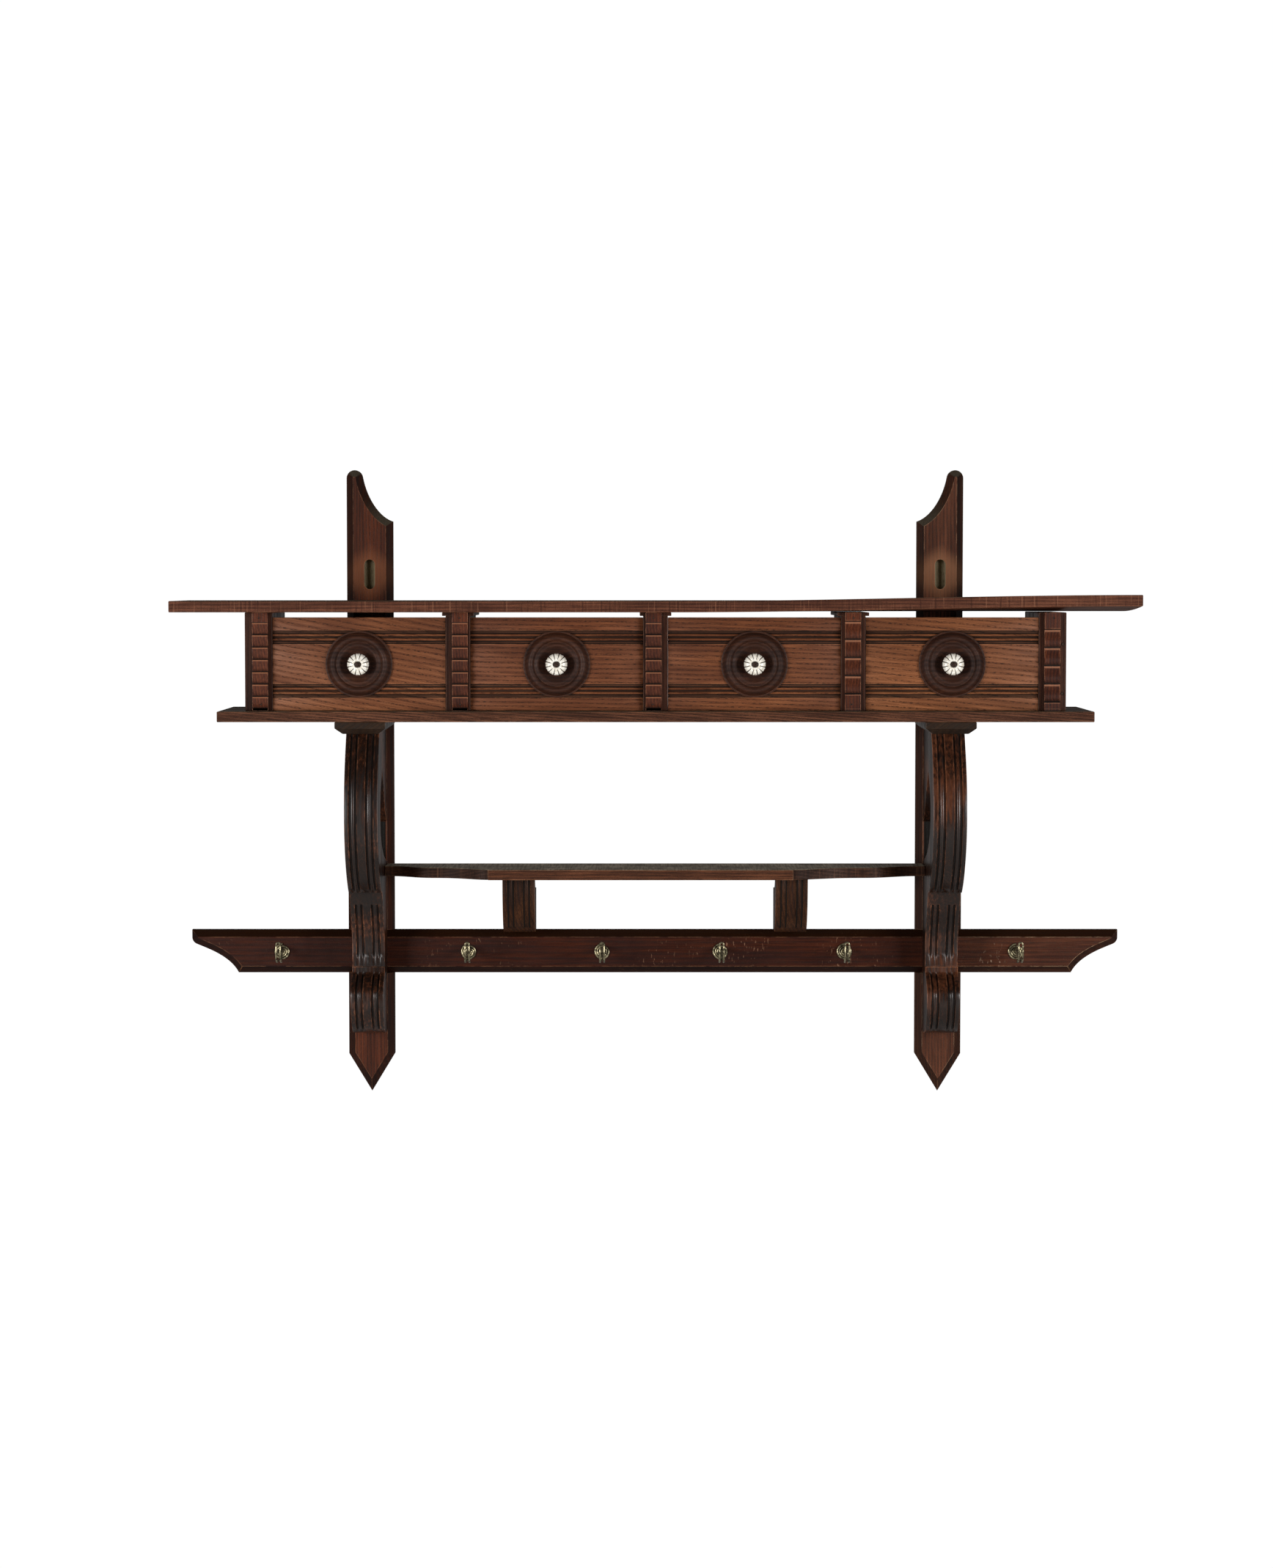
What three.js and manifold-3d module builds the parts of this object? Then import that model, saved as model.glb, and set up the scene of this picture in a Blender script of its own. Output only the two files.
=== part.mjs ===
// A wall-hung shelf of stained wood: a long top shelf over a row of four small drawers, two
// uprights with fluted scroll brackets, a short middle shelf on two corbels, and a bevelled
// rail with six wire coat hooks.
//
// Millimetres. +X runs to the right, the front faces -Y and +Z is up. The origin is the
// middle of the coat rail's back face, on the wall. "Out" is the distance out from the wall.
import * as THREE from 'three';
import { mergeVertices } from 'three/addons/utils/BufferGeometryUtils.js';
import Module from 'manifold-3d';

const wasm = await Module();
wasm.setup();

// ---- driving dimensions ---------------------------------------------------------------

const LENGTH = 1100;             // top shelf, end to end
const DEPTH = 192;               // wall to the top shelf's front edge
const GAP = 0.3;                 // left between two pieces that touch

const SHELF_THICK = 12.8;
const SHELF_LIFT = 7;            // the front right corner has warped up by this much
const SHELF_LIFT_START = 20;     // the warp begins this far right of the middle

const CASE_INSET = 82.5;         // end of the top shelf to the side of the drawer case
const CASE_SETBACK = 32;         // front of the top shelf to the front of the case
const CASE_HEIGHT = 112.5;       // between the bottom board and the top shelf
const CASE_RISE = 278.5;         // middle of the rail to the underside of the bottom board
const END_THICK = 31.5;
const DIVIDER_THICK = 28;
const CLEAT_OVERHANG = 4;        // cleat at the top of a divider, past each side of it
const CLEAT_HEIGHT = 4;

const BOARD_THICK = 12;          // bottom board
const BOARD_SETBACK = 14;        // front of the top shelf to its front
const BOARD_OVERHANG = 30.5;     // past each side of the case

const STRIP_WIDTH = 18;          // carved strips on the case's front
const STRIP_PROUD = 10;
const STRIP_SHIFTS = [2.5, 2.8, -2.3, -0.8, -1];   // off the middle of what each is nailed to
const SCALE_PITCH = 14;          // small overlapping scales of the left three strips
const SCALE_TOP_BLOCK = 11.5;
const SCALE_CUT = 4;
const LEAF_PITCH = 20.6;         // longer leaves of the right two strips
const LEAF_TOP_BLOCKS = [10.3, 19.5];
const LEAF_CUT = 3.5;

const DRAWER_SIDE_PLAY = 0.4;    // front to the bay's side
const DRAWER_FLOOR_PLAY = 0.5;
const DRAWER_TOP_PLAY = 6;       // top of the front to the shelf's underside
const DRAWER_BACK_PLAY = 6;      // back of the box to the uprights' plane
const FRONT_THICK = 14;
const BOX_SET_IN = 1;            // box side in from the end of the front
const BOX_WALL = 8;
const BOX_DROP = 10;             // top of the box below the top of the front
const BOX_RISE = 2;              // bottom of the box above the bottom of the front
const PANEL_THICK = 4;           // drawer bottom
const PANEL_RISE = 5;            // underside of the bottom above the box's lower edge
const GROOVE_DEPTH = 3;
const GROOVE_PLAY = 0.25;
const BEADED_BAND_INSET = 15;    // plain edge above and below a beaded band
const BEADED_BAND_WIDTH = 15;
const BEADED_BAND_DEPTH = 1.5;   // face to the floor that the beads stand on
const BEAD_SPACING = 5;
const BEAD_WIDTH = 3;
const BEAD_SUNK = 0.2;           // crest of a bead behind the face

const ROSETTE_RADIUS = 38;
const ROSETTE_FLANGE = 2.6;
const ROSETTE_CREST = 9;
const RING_RADIUS = 22;
const RING_CREST = 7.2;
const BOWL_RADIUS = 14;
const BOWL_FLOOR = 3;
const KNOB_RADIUS = 12.6;
const KNOB_PETALS = 12;
const KNOB_FLUTE = 0.09;         // share of the radius cut away between two petals
const KNOB_LENGTH = 18.5;
const KNOB_STEM_RADIUS = 5;
const SCREW_RADIUS = 3.5;
const SCREW_PROUD = 1.4;

const UPRIGHT_INSET = 214;       // end of the top shelf to an upright's centre line
const UPRIGHT_WIDTH = 54.5;
const UPRIGHT_THICK = 16;
const UPRIGHT_ABOVE_SHELF = 153;
const UPRIGHT_BELOW_RAIL = 167;  // middle of the rail to the uprights' points
const FOOT_POINT = 45;
const HORN_DROP = 60.4;          // peak to the inner shoulder
const HORN_ROUND = 9.5;
const HORN_TILT = Math.PI / 18;     // where the horn's round meets its hollow, off level
const HORN_SHOULDER_PULL = [0.66, 6];   // share of the width, and rise, of the hollow's start
const HORN_HOLLOW_PULL = [4, 22];       // in and down, where the hollow meets the round
const BEVEL = 8;                 // front edges of the uprights and the rail
const SLOT_WIDTH = 12.6;
const SLOT_LENGTH = 35;
const SLOT_DEPTH = 11;
const SLOT_ABOVE_SHELF = 13;

const RAIL_INSET = 1;            // end of the top shelf to the rail's upper corner
const RAIL_HEIGHT = 51;
const RAIL_THICK = 16;
const RAIL_END_SLOPE = 55;       // lower corner behind the upper one
const RAIL_END_ROUND = 8.6;
const RAIL_END_TILT = Math.PI / 8;  // slope of the end where its round meets its hollow
const RAIL_END_PULL = 17;           // of the hollow, along that slope
const RAIL_FOOT_PULL = [10, 19];    // of the hollow at its foot, out and up

const BRACKET_WIDTH = 38;
const NECK_SETBACK = 62;         // front of the top shelf to the bracket's neck
const BELLY_SETBACK = 24;
const BELLY_BELOW_CASE = 105;
const BAND_DEPTH = 47;           // front of the belly to the scroll opening
const SCROLL_TOP_BELOW_CASE = 60;
const SCROLL_POINT_OUT = 88;
const TONGUE_BELOW_CASE = 124;
const WAIST_OUT = 56;
const LEDGE_OUT = 108;
const LEDGE_BELOW_SHELF = 14.5;
const LIP_DROP = 13;             // middle of the rail to the lip
const LIP_HEIGHT = 6;
const LIP_OUT = 61;
const BULB_OUT = 88;
const BULB_DROP = 46;
const BRACKET_DROP = 93;         // middle of the rail to the bracket's foot

// How far each end of a curve in the bracket's side outline carries on straight: [out, up]
const NECK_PULL = [18, -26];
const BELLY_PULL = 38;
const LEDGE_PULL = [38, 22];
const COVE = [[-14, 0], [-20, -7], [-23, -16]];   // hollow under the ledge, from its front
const COVE_PULL = [-13, -22];
const WAIST_PULL = 37;
const LIP_PULL = [4, -6];
const BULB_PULLS = [16, 30];     // above and below its fullest part
const FOOT_FLAT = 48;            // front of the bulb to where the foot runs level
const FOOT_PULL = 22;
const SCROLL_FOOT_RISE = 3;      // middle shelf's top to the foot of the scroll opening
const SCROLL_FOOT_PULL = [40, 5];
const SCROLL_FRONT_DROP = 4;     // fullest part of the belly to that of the opening
const SCROLL_FRONT_PULLS = [40.5, 26];    // below and above its fullest part
const SCROLL_POINT_PULL = [16, -14];
const TONGUE_PULLS = [[-26, -22], [26, 8]];

const CAPITAL_WIDTH = 58;
const CAPITAL_HEIGHT = 14;
const CAPITAL_SETBACK = 20;
const CAPITAL_CHAMFER = 8.5;
const CAPITAL_CHAMFER_RISE = 6.5;

const MIDDLE_SHELF_RISE = 93;    // middle of the rail to its underside
const MIDDLE_SHELF_THICK = 12;
const MIDDLE_SHELF_DEPTH = 112;
const MIDDLE_SHELF_END_DEPTH = 55;
const MIDDLE_SHELF_OGEES = [123, 157];   // lengths of the curved front, left and right
const MIDDLE_SHELF_CUSP = 4;

const CORBEL_SPACING = 319;
const CORBEL_WIDTH = 37.5;
const CORBEL_TOP_OUT = 75;
const CORBEL_FOOT_OUT = 36;
const CORBEL_BAND = 25;
const CORBEL_HEEL_DROP = 18;     // middle shelf to the top of the heel
const CORBEL_HEEL_OUT = 14;
const CORBEL_TOE_PULL = [18, 4];
const CORBEL_TOP_PULL = 37.5;
const CORBEL_HOLLOW_LEAN = 4;

const FLUTE_WIDTH = 1.4;
const FLUTE_DEPTH = 1.6;
const FLUTE_PLACES = [-12.6, -6.2, 6.2, 12.6];   // across a bracket, from its middle

const HOOK_FROM_END = [108, 121];       // left and right hooks from the rail's corners
const HOOK_FROM_UPRIGHT = [116, 111];   // next hooks, in from the uprights
const HOOK_FROM_MIDDLE = [-62, 78];
const WIRE = 2.4;
const HOOK_PLATE_RADIUS = 10.4;
const HOOK_PAIR_WIDTH = 7.5;
const HOOK_REACH = 52;
const HOOK_RISE = 4;             // of the twisted shank, before it dips
const HOOK_SAG = 9;
const HOOK_TIP_RISE = 17;

// ---- places worked out from them ------------------------------------------------------

const CASE_LENGTH = LENGTH - 2 * CASE_INSET;
const CASE_FRONT = DEPTH - CASE_SETBACK;
const CASE_FLOOR = CASE_RISE + BOARD_THICK;
const SHELF_FLOOR = CASE_FLOOR + CASE_HEIGHT;
const SHELF_TOP = SHELF_FLOOR + SHELF_THICK;
const BAY = (CASE_LENGTH - 2 * END_THICK - 3 * DIVIDER_THICK) / 4;
const BAY_PITCH = BAY + DIVIDER_THICK;
const UPRIGHT_X = LENGTH / 2 - UPRIGHT_INSET;
const BEHIND = UPRIGHT_THICK + GAP;      // back of whatever lies on the uprights' front
const CAPITAL_FLOOR = CASE_RISE - CAPITAL_HEIGHT;
const SIDES = [['left', -1], ['right', 1]];

const LATHE_SEGMENTS = 24;
const CURVE_STEPS = 6;

// ---- finishes -------------------------------------------------------------------------

const FINISHES = {
  frame: { color: 0x4a2c22, roughness: 0.62, metalness: 0 },
  shelf: { color: 0x553527, roughness: 0.7, metalness: 0 },
  rail: { color: 0x47241c, roughness: 0.42, metalness: 0 },
  bracket: { color: 0x33211a, roughness: 0.4, metalness: 0 },
  drawer_front: { color: 0x7b4f36, roughness: 0.6, metalness: 0 },
  drawer_box: { color: 0x8d6c4c, roughness: 0.8, metalness: 0 },
  rosette: { color: 0x4a2b22, roughness: 0.45, metalness: 0 },
  knob: { color: 0xe8e1d2, roughness: 0.3, metalness: 0 },
  screw: { color: 0x2b2420, roughness: 0.5, metalness: 0.6 },
  hook: { color: 0x8a8266, roughness: 0.4, metalness: 0.9 },
};

// ---- solids ---------------------------------------------------------------------------

/** A closed three.js geometry as a solid that can be joined and cut. */
function solid(geometry) {
  const bare = geometry.clone();
  bare.deleteAttribute('normal');
  bare.deleteAttribute('uv');
  const merged = mergeVertices(bare, 1e-4);
  const corners = merged.index.array;
  const kept = [];
  for (let i = 0; i < corners.length; i += 3) {
    const [a, b, c] = [corners[i], corners[i + 1], corners[i + 2]];
    if (a !== b && b !== c && c !== a) kept.push(a, b, c);
  }
  return new wasm.Manifold(new wasm.Mesh({
    numProp: 3,
    vertProperties: new Float32Array(merged.attributes.position.array),
    triVerts: new Uint32Array(kept),
  }));
}

function join(...pieces) {
  return pieces.reduce((whole, piece) => whole.add(piece));
}

function cut(piece, ...cutters) {
  return cutters.reduce((left, cutter) => left.subtract(cutter), piece);
}

/** A solid back as a geometry. */
function geometryOf(piece) {
  const { vertProperties, triVerts } = piece.getMesh();
  const geometry = new THREE.BufferGeometry();
  geometry.setAttribute('position', new THREE.BufferAttribute(vertProperties, 3));
  geometry.setIndex(new THREE.BufferAttribute(triVerts, 1));
  geometry.computeVertexNormals();
  return geometry;
}

/** A rectangular block between two values on each axis, out being towards the front. */
function block([x0, x1], [out0, out1], [z0, z1]) {
  const geometry = new THREE.BoxGeometry(x1 - x0, out1 - out0, z1 - z0);
  geometry.translate((x0 + x1) / 2, -(out0 + out1) / 2, (z0 + z1) / 2);
  return solid(geometry);
}

const RIGHT = new THREE.Vector3(1, 0, 0);
const LEFT = new THREE.Vector3(-1, 0, 0);
const FORWARD = new THREE.Vector3(0, -1, 0);
const UP = new THREE.Vector3(0, 0, 1);

function extruded(shape, length, bevel = {}) {
  return new THREE.ExtrudeGeometry(shape, {
    depth: length, steps: 1, bevelEnabled: false, curveSegments: CURVE_STEPS, ...bevel,
  });
}

/** A side outline, drawn as (out, up), carried across x and centred on x = middle. */
function across(shape, width, middle = 0) {
  const geometry = extruded(shape, width);
  geometry.applyMatrix4(new THREE.Matrix4().makeBasis(FORWARD, UP, LEFT));
  geometry.translate(middle + width / 2, 0, 0);
  return solid(geometry);
}

/** A front outline, drawn as (x, up), carried forward from out = back. */
function forward(shape, thickness, back = 0) {
  const geometry = extruded(shape, thickness);
  geometry.applyMatrix4(new THREE.Matrix4().makeBasis(RIGHT, UP, FORWARD));
  geometry.translate(0, -back, 0);
  return solid(geometry);
}

/** The same, with its front edges bevelled all round. Its back is on the wall. */
function bevelledBoard(shape, thickness, bevel) {
  const geometry = extruded(shape, thickness - bevel, {
    bevelEnabled: true, bevelThickness: bevel, bevelSize: bevel, bevelOffset: -bevel,
    bevelSegments: 1,
  });
  geometry.applyMatrix4(new THREE.Matrix4().makeBasis(RIGHT, UP, FORWARD));
  const both = solid(geometry);
  const { min, max } = both.boundingBox();
  const behindWall = block([min[0] - 1, max[0] + 1], [-bevel - 1, 0], [min[2] - 1, max[2] + 1]);
  return cut(both, behindWall);
}

/** A turned piece from its half profile, drawn as (radius, forward), axis pointing out. */
function turned(points, segments = LATHE_SEGMENTS) {
  const profile = points.map(([radius, ahead]) => new THREE.Vector2(radius, ahead));
  const geometry = new THREE.LatheGeometry(profile, segments);
  geometry.rotateX(Math.PI);
  return geometry;
}

/** One named piece of the assembly. */
function place(parent, name, piece, finish, position = [0, 0, 0]) {
  const material = new THREE.MeshStandardMaterial(FINISHES[finish]);
  const mesh = new THREE.Mesh(geometryOf(piece), material);
  mesh.name = name;
  mesh.position.set(...position);
  parent.add(mesh);
  return mesh;
}

// ---- boards ---------------------------------------------------------------------------

/** Upward warp of the top shelf: a smooth rise to the right, and from the back forwards. */
function shelfLift(x, out) {
  const along = THREE.MathUtils.smoothstep(x, SHELF_LIFT_START, LENGTH / 2);
  const forwards = (out - BEHIND) / (DEPTH - BEHIND);
  return SHELF_LIFT * along * forwards * forwards;
}

function topShelf() {
  const stepsAlong = 14;
  const stepsForward = 3;
  const depth = DEPTH - BEHIND;
  const geometry = new THREE.BoxGeometry(LENGTH, depth, SHELF_THICK, stepsAlong, stepsForward, 1);
  geometry.translate(0, -BEHIND - depth / 2, SHELF_FLOOR + SHELF_THICK / 2);
  const places = geometry.attributes.position;
  for (let i = 0; i < places.count; i += 1) {
    places.setZ(i, places.getZ(i) + shelfLift(places.getX(i), -places.getY(i)));
  }
  return solid(geometry);
}

function bottomBoard() {
  const half = CASE_LENGTH / 2 + BOARD_OVERHANG;
  return block([-half, half], [BEHIND, DEPTH - BOARD_SETBACK], [CASE_RISE, CASE_FLOOR]);
}

/** Between the brackets: straight in the middle, then a cusp and a long ogee to each end. */
function middleShelf() {
  const half = UPRIGHT_X - BRACKET_WIDTH / 2 - GAP;
  const cusp = MIDDLE_SHELF_DEPTH - MIDDLE_SHELF_CUSP;
  const turn = (cusp + MIDDLE_SHELF_END_DEPTH) / 2;
  const outline = new THREE.Shape();
  outline.moveTo(-half, -BEHIND);
  outline.lineTo(-half, -MIDDLE_SHELF_END_DEPTH);
  const [left, right] = MIDDLE_SHELF_OGEES.map((length) => ({
    straight: half - length,
    outer: half - length / 4,
    middle: half - length / 2,
    inner: half - 3 * length / 4,
    atCusp: half - 7 * length / 8,
  }));
  outline.bezierCurveTo(
    -left.outer, -MIDDLE_SHELF_END_DEPTH, -left.outer, -turn, -left.middle, -turn);
  outline.bezierCurveTo(-left.inner, -turn, -left.atCusp, -cusp, -left.straight, -cusp);
  outline.lineTo(-left.straight, -MIDDLE_SHELF_DEPTH);
  outline.lineTo(right.straight, -MIDDLE_SHELF_DEPTH);
  outline.lineTo(right.straight, -cusp);
  outline.bezierCurveTo(right.atCusp, -cusp, right.inner, -turn, right.middle, -turn);
  outline.bezierCurveTo(
    right.outer, -turn, right.outer, -MIDDLE_SHELF_END_DEPTH, half, -MIDDLE_SHELF_END_DEPTH);
  outline.lineTo(half, -BEHIND);
  return solid(extruded(outline, MIDDLE_SHELF_THICK));
}

// ---- drawer case ----------------------------------------------------------------------

const CASE_LEVELS = [CASE_FLOOR + GAP, SHELF_FLOOR - GAP];

function endPanel() {
  return block([-END_THICK / 2, END_THICK / 2], [BEHIND, CASE_FRONT], CASE_LEVELS);
}

/** A divider with the cleat that carries the shelf along its top. */
function divider() {
  const half = DIVIDER_THICK / 2;
  const cleat = half + CLEAT_OVERHANG;
  const top = CASE_LEVELS[1];
  return join(
    block([-half, half], [BEHIND, CASE_FRONT], CASE_LEVELS),
    block([-cleat, cleat], [BEHIND, CASE_FRONT], [top - CLEAT_HEIGHT, top]),
  );
}

/**
 * A carved strip. Its front steps down block by block, as many as there is room for:
 * relief(t) is how far the carving is cut back at t, from 0 at a block's top to 1 at its foot.
 */
function carvedStrip(topBlock, pitch, relief) {
  const samples = 5;
  const front = CASE_FRONT + STRIP_PROUD;
  const back = CASE_FRONT + GAP;
  const [foot, top] = CASE_LEVELS;
  const count = Math.floor((top - topBlock - foot) / pitch);
  const outline = new THREE.Shape();
  outline.moveTo(back, top);
  outline.lineTo(front - relief(0.5), top);
  for (let i = 0; i < count; i += 1) {
    for (let j = 0; j <= samples; j += 1) {
      const t = j / samples;
      outline.lineTo(front - relief(t), top - topBlock - pitch * (i + t * 0.999));
    }
  }
  const last = top - topBlock - pitch * count;
  outline.lineTo(front - relief(0.5), last);
  outline.lineTo(front - relief(0.5), foot);
  outline.lineTo(back, foot);
  return across(outline, STRIP_WIDTH);
}

/** Small scales: proud at the top edge, hollowed towards the foot. */
function scaleStrip() {
  return carvedStrip(SCALE_TOP_BLOCK, SCALE_PITCH, (t) => SCALE_CUT * t * t);
}

/** Long leaves: hollow at the top, swelling to three quarters down, then turned under. */
function leafStrip(topBlock) {
  const relief = (t) => LEAF_CUT * (1 - Math.sin(Math.PI * t ** 1.8));
  return carvedStrip(topBlock, LEAF_PITCH, relief);
}

// ---- drawers --------------------------------------------------------------------------
// Each drawer is a group whose origin is the middle of its front's lower edge.

const FRONT_WIDTH = BAY - 2 * DRAWER_SIDE_PLAY;
const FRONT_HEIGHT = CASE_HEIGHT - DRAWER_FLOOR_PLAY - DRAWER_TOP_PLAY;
const BOX_HALF = FRONT_WIDTH / 2 - BOX_SET_IN;
const BOX_LENGTH = CASE_FRONT - BEHIND - DRAWER_BACK_PLAY - FRONT_THICK - GAP;
const BOX_LEVELS = [BOX_RISE, FRONT_HEIGHT - BOX_DROP];
const BOX_START = -FRONT_THICK - GAP;    // out of the box's front end
const BOX_END = BOX_START - BOX_LENGTH;
const PANEL_LEVELS = [BOX_RISE + PANEL_RISE, BOX_RISE + PANEL_RISE + PANEL_THICK];
const GROOVE_LEVELS = [PANEL_LEVELS[0] - GROOVE_PLAY, PANEL_LEVELS[1] + GROOVE_PLAY];

/** The front, with a sunk band of two beads above and below the plain field. */
function drawerFront() {
  const samples = 6;
  const rise = BEADED_BAND_DEPTH - BEAD_SUNK;
  const bandMiddles = [
    BEADED_BAND_INSET + BEADED_BAND_WIDTH / 2,
    FRONT_HEIGHT - BEADED_BAND_INSET - BEADED_BAND_WIDTH / 2,
  ];
  const outline = new THREE.Shape();
  outline.moveTo(-FRONT_THICK, 0);
  outline.lineTo(0, 0);
  for (const middle of bandMiddles) {
    outline.lineTo(0, middle - BEADED_BAND_WIDTH / 2);
    outline.lineTo(-BEADED_BAND_DEPTH, middle - BEADED_BAND_WIDTH / 2);
    for (const bead of [middle - BEAD_SPACING / 2, middle + BEAD_SPACING / 2]) {
      for (let i = 0; i <= samples; i += 1) {
        const t = i / samples;
        const out = rise * Math.sin(Math.PI * t) - BEADED_BAND_DEPTH;
        outline.lineTo(out, bead + (t - 0.5) * BEAD_WIDTH);
      }
    }
    outline.lineTo(-BEADED_BAND_DEPTH, middle + BEADED_BAND_WIDTH / 2);
    outline.lineTo(0, middle + BEADED_BAND_WIDTH / 2);
  }
  outline.lineTo(0, FRONT_HEIGHT);
  outline.lineTo(-FRONT_THICK, FRONT_HEIGHT);
  const groove = block(
    [-FRONT_WIDTH / 2 - 1, FRONT_WIDTH / 2 + 1],
    [-FRONT_THICK - 1, -FRONT_THICK + GROOVE_DEPTH],
    GROOVE_LEVELS,
  );
  return cut(across(outline, FRONT_WIDTH), groove);
}

/** A side of the box, on the left (-1) or the right (1), grooved for the bottom. */
function drawerSide(side) {
  const outer = side * BOX_HALF;
  const inner = side * (BOX_HALF - BOX_WALL);
  const grooveEnd = inner + side * GROOVE_DEPTH;
  const span = (a, b) => [Math.min(a, b), Math.max(a, b)];
  return cut(
    block(span(outer, inner), [BOX_END, BOX_START], BOX_LEVELS),
    block(span(inner - side, grooveEnd), [BOX_END - 1, BOX_START + 1], GROOVE_LEVELS),
  );
}

/** The back stands on the bottom, which slides in under it. */
function drawerBack() {
  const half = BOX_HALF - BOX_WALL - GAP;
  return block(
    [-half, half], [BOX_END, BOX_END + BOX_WALL], [PANEL_LEVELS[1] + GAP, BOX_LEVELS[1]]);
}

function drawerBottom() {
  const half = BOX_HALF - BOX_WALL + GROOVE_DEPTH - GROOVE_PLAY;
  return block([-half, half], [BOX_END, -FRONT_THICK + GROOVE_DEPTH - GROOVE_PLAY], PANEL_LEVELS);
}

/** Turned rosette: a flange, a fat ring, a finer ring, and a bowl that holds the knob. */
function rosette() {
  const arc = 6;
  const points = [[0, GAP], [ROSETTE_RADIUS, GAP], [ROSETTE_RADIUS, ROSETTE_FLANGE]];
  const rings = [
    { from: ROSETTE_RADIUS - 2.5, to: RING_RADIUS + 4, foot: ROSETTE_FLANGE, crest: ROSETTE_CREST },
    { from: RING_RADIUS + 3, to: RING_RADIUS - 3, foot: ROSETTE_CREST / 2, crest: RING_CREST },
  ];
  for (const { from, to, foot, crest } of rings) {
    for (let i = 0; i <= arc; i += 1) {
      const t = i / arc;
      points.push([from + (to - from) * t, foot + (crest - foot) * Math.sin(Math.PI * t)]);
    }
  }
  points.push([BOWL_RADIUS, BOWL_FLOOR], [0, BOWL_FLOOR]);
  return solid(turned(points));
}

/** Twelve-petalled knob: a turned shape pinched in between the petals. */
function knob() {
  const foot = BOWL_FLOOR + GAP;
  const head = foot + KNOB_LENGTH;
  const r = KNOB_RADIUS;
  const geometry = turned([
    [0, foot],
    [KNOB_STEM_RADIUS, foot],
    [KNOB_STEM_RADIUS, foot + 0.25 * KNOB_LENGTH],
    [0.8 * r, foot + 0.36 * KNOB_LENGTH],
    [r, foot + 0.58 * KNOB_LENGTH],
    [0.95 * r, foot + 0.78 * KNOB_LENGTH],
    [0.72 * r, foot + 0.94 * KNOB_LENGTH],
    [SCREW_RADIUS + 0.8, head],
    [SCREW_RADIUS + 0.3, head - 1],
    [0, head - 1],
  ], 2 * KNOB_PETALS);
  const places = geometry.attributes.position;
  for (let i = 0; i < places.count; i += 1) {
    const [x, z] = [places.getX(i), places.getZ(i)];
    if (Math.hypot(x, z) > KNOB_STEM_RADIUS + 1) {
      const pinch = 1 - (KNOB_FLUTE * (1 - Math.cos(KNOB_PETALS * Math.atan2(z, x)))) / 2;
      places.setX(i, x * pinch);
      places.setZ(i, z * pinch);
    }
  }
  return solid(geometry);
}

function knobScrew() {
  const foot = BOWL_FLOOR + GAP + KNOB_LENGTH - 1 + GAP;
  const head = foot + 1 + SCREW_PROUD;
  return solid(turned([
    [0, foot], [SCREW_RADIUS, foot], [SCREW_RADIUS, head - 0.6], [0.7 * SCREW_RADIUS, head], [0, head],
  ], 12));
}

function drawer(name, x) {
  const group = new THREE.Group();
  group.position.set(x, -CASE_FRONT, CASE_FLOOR + DRAWER_FLOOR_PLAY);
  const middle = [0, 0, FRONT_HEIGHT / 2];
  place(group, `${name}_front`, drawerFront(), 'drawer_front');
  for (const [side, sign] of SIDES) {
    place(group, `${name}_side_${side}`, drawerSide(sign), 'drawer_box');
  }
  place(group, `${name}_back`, drawerBack(), 'drawer_box');
  place(group, `${name}_bottom`, drawerBottom(), 'drawer_box');
  place(group, `${name}_rosette`, rosette(), 'rosette', middle);
  place(group, `${name}_knob`, knob(), 'knob', middle);
  place(group, `${name}_knob_screw`, knobScrew(), 'screw', middle);
  return group;
}

// ---- uprights and coat rail, halved across each other ---------------------------------

/** An upright, its horn on the outer side; side is -1 on the left and 1 on the right. */
function upright(side) {
  const peak = SHELF_TOP + UPRIGHT_ABOVE_SHELF;
  const foot = FOOT_POINT - UPRIGHT_BELOW_RAIL;
  const shoulder = peak - HORN_DROP;
  // at(0) is the outer edge and at(1) the inner one
  const at = (share) => side * UPRIGHT_WIDTH * (0.5 - share);
  const outerEdge = at(0);
  const roundX = outerEdge - side * HORN_ROUND;
  const [roundStart, roundEnd] = side > 0 ? [Math.PI - HORN_TILT, 0] : [HORN_TILT, Math.PI];
  const hollowX = roundX - side * HORN_ROUND * Math.cos(HORN_TILT);
  const hollowTop = peak - HORN_ROUND * (1 - Math.sin(HORN_TILT));
  const outline = new THREE.Shape();
  outline.moveTo(outerEdge, foot);
  outline.lineTo(0, -UPRIGHT_BELOW_RAIL);
  outline.lineTo(at(1), foot);
  outline.lineTo(at(1), shoulder);
  const [shoulderShare, shoulderRise] = HORN_SHOULDER_PULL;
  const [pullIn, pullDown] = HORN_HOLLOW_PULL;
  outline.bezierCurveTo(
    at(shoulderShare), shoulder + shoulderRise,
    hollowX - side * pullIn, hollowTop - pullDown, hollowX, hollowTop);
  outline.absarc(roundX, peak - HORN_ROUND, HORN_ROUND, roundStart, roundEnd, side > 0);
  const halving = block(
    [-UPRIGHT_WIDTH, UPRIGHT_WIDTH],
    [RAIL_THICK - BEVEL - GAP, UPRIGHT_THICK + 1],
    [-RAIL_HEIGHT / 2 - GAP, RAIL_HEIGHT / 2 + GAP],
  );
  return cut(bevelledBoard(outline, UPRIGHT_THICK, BEVEL), halving, hangingSlot());
}

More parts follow.
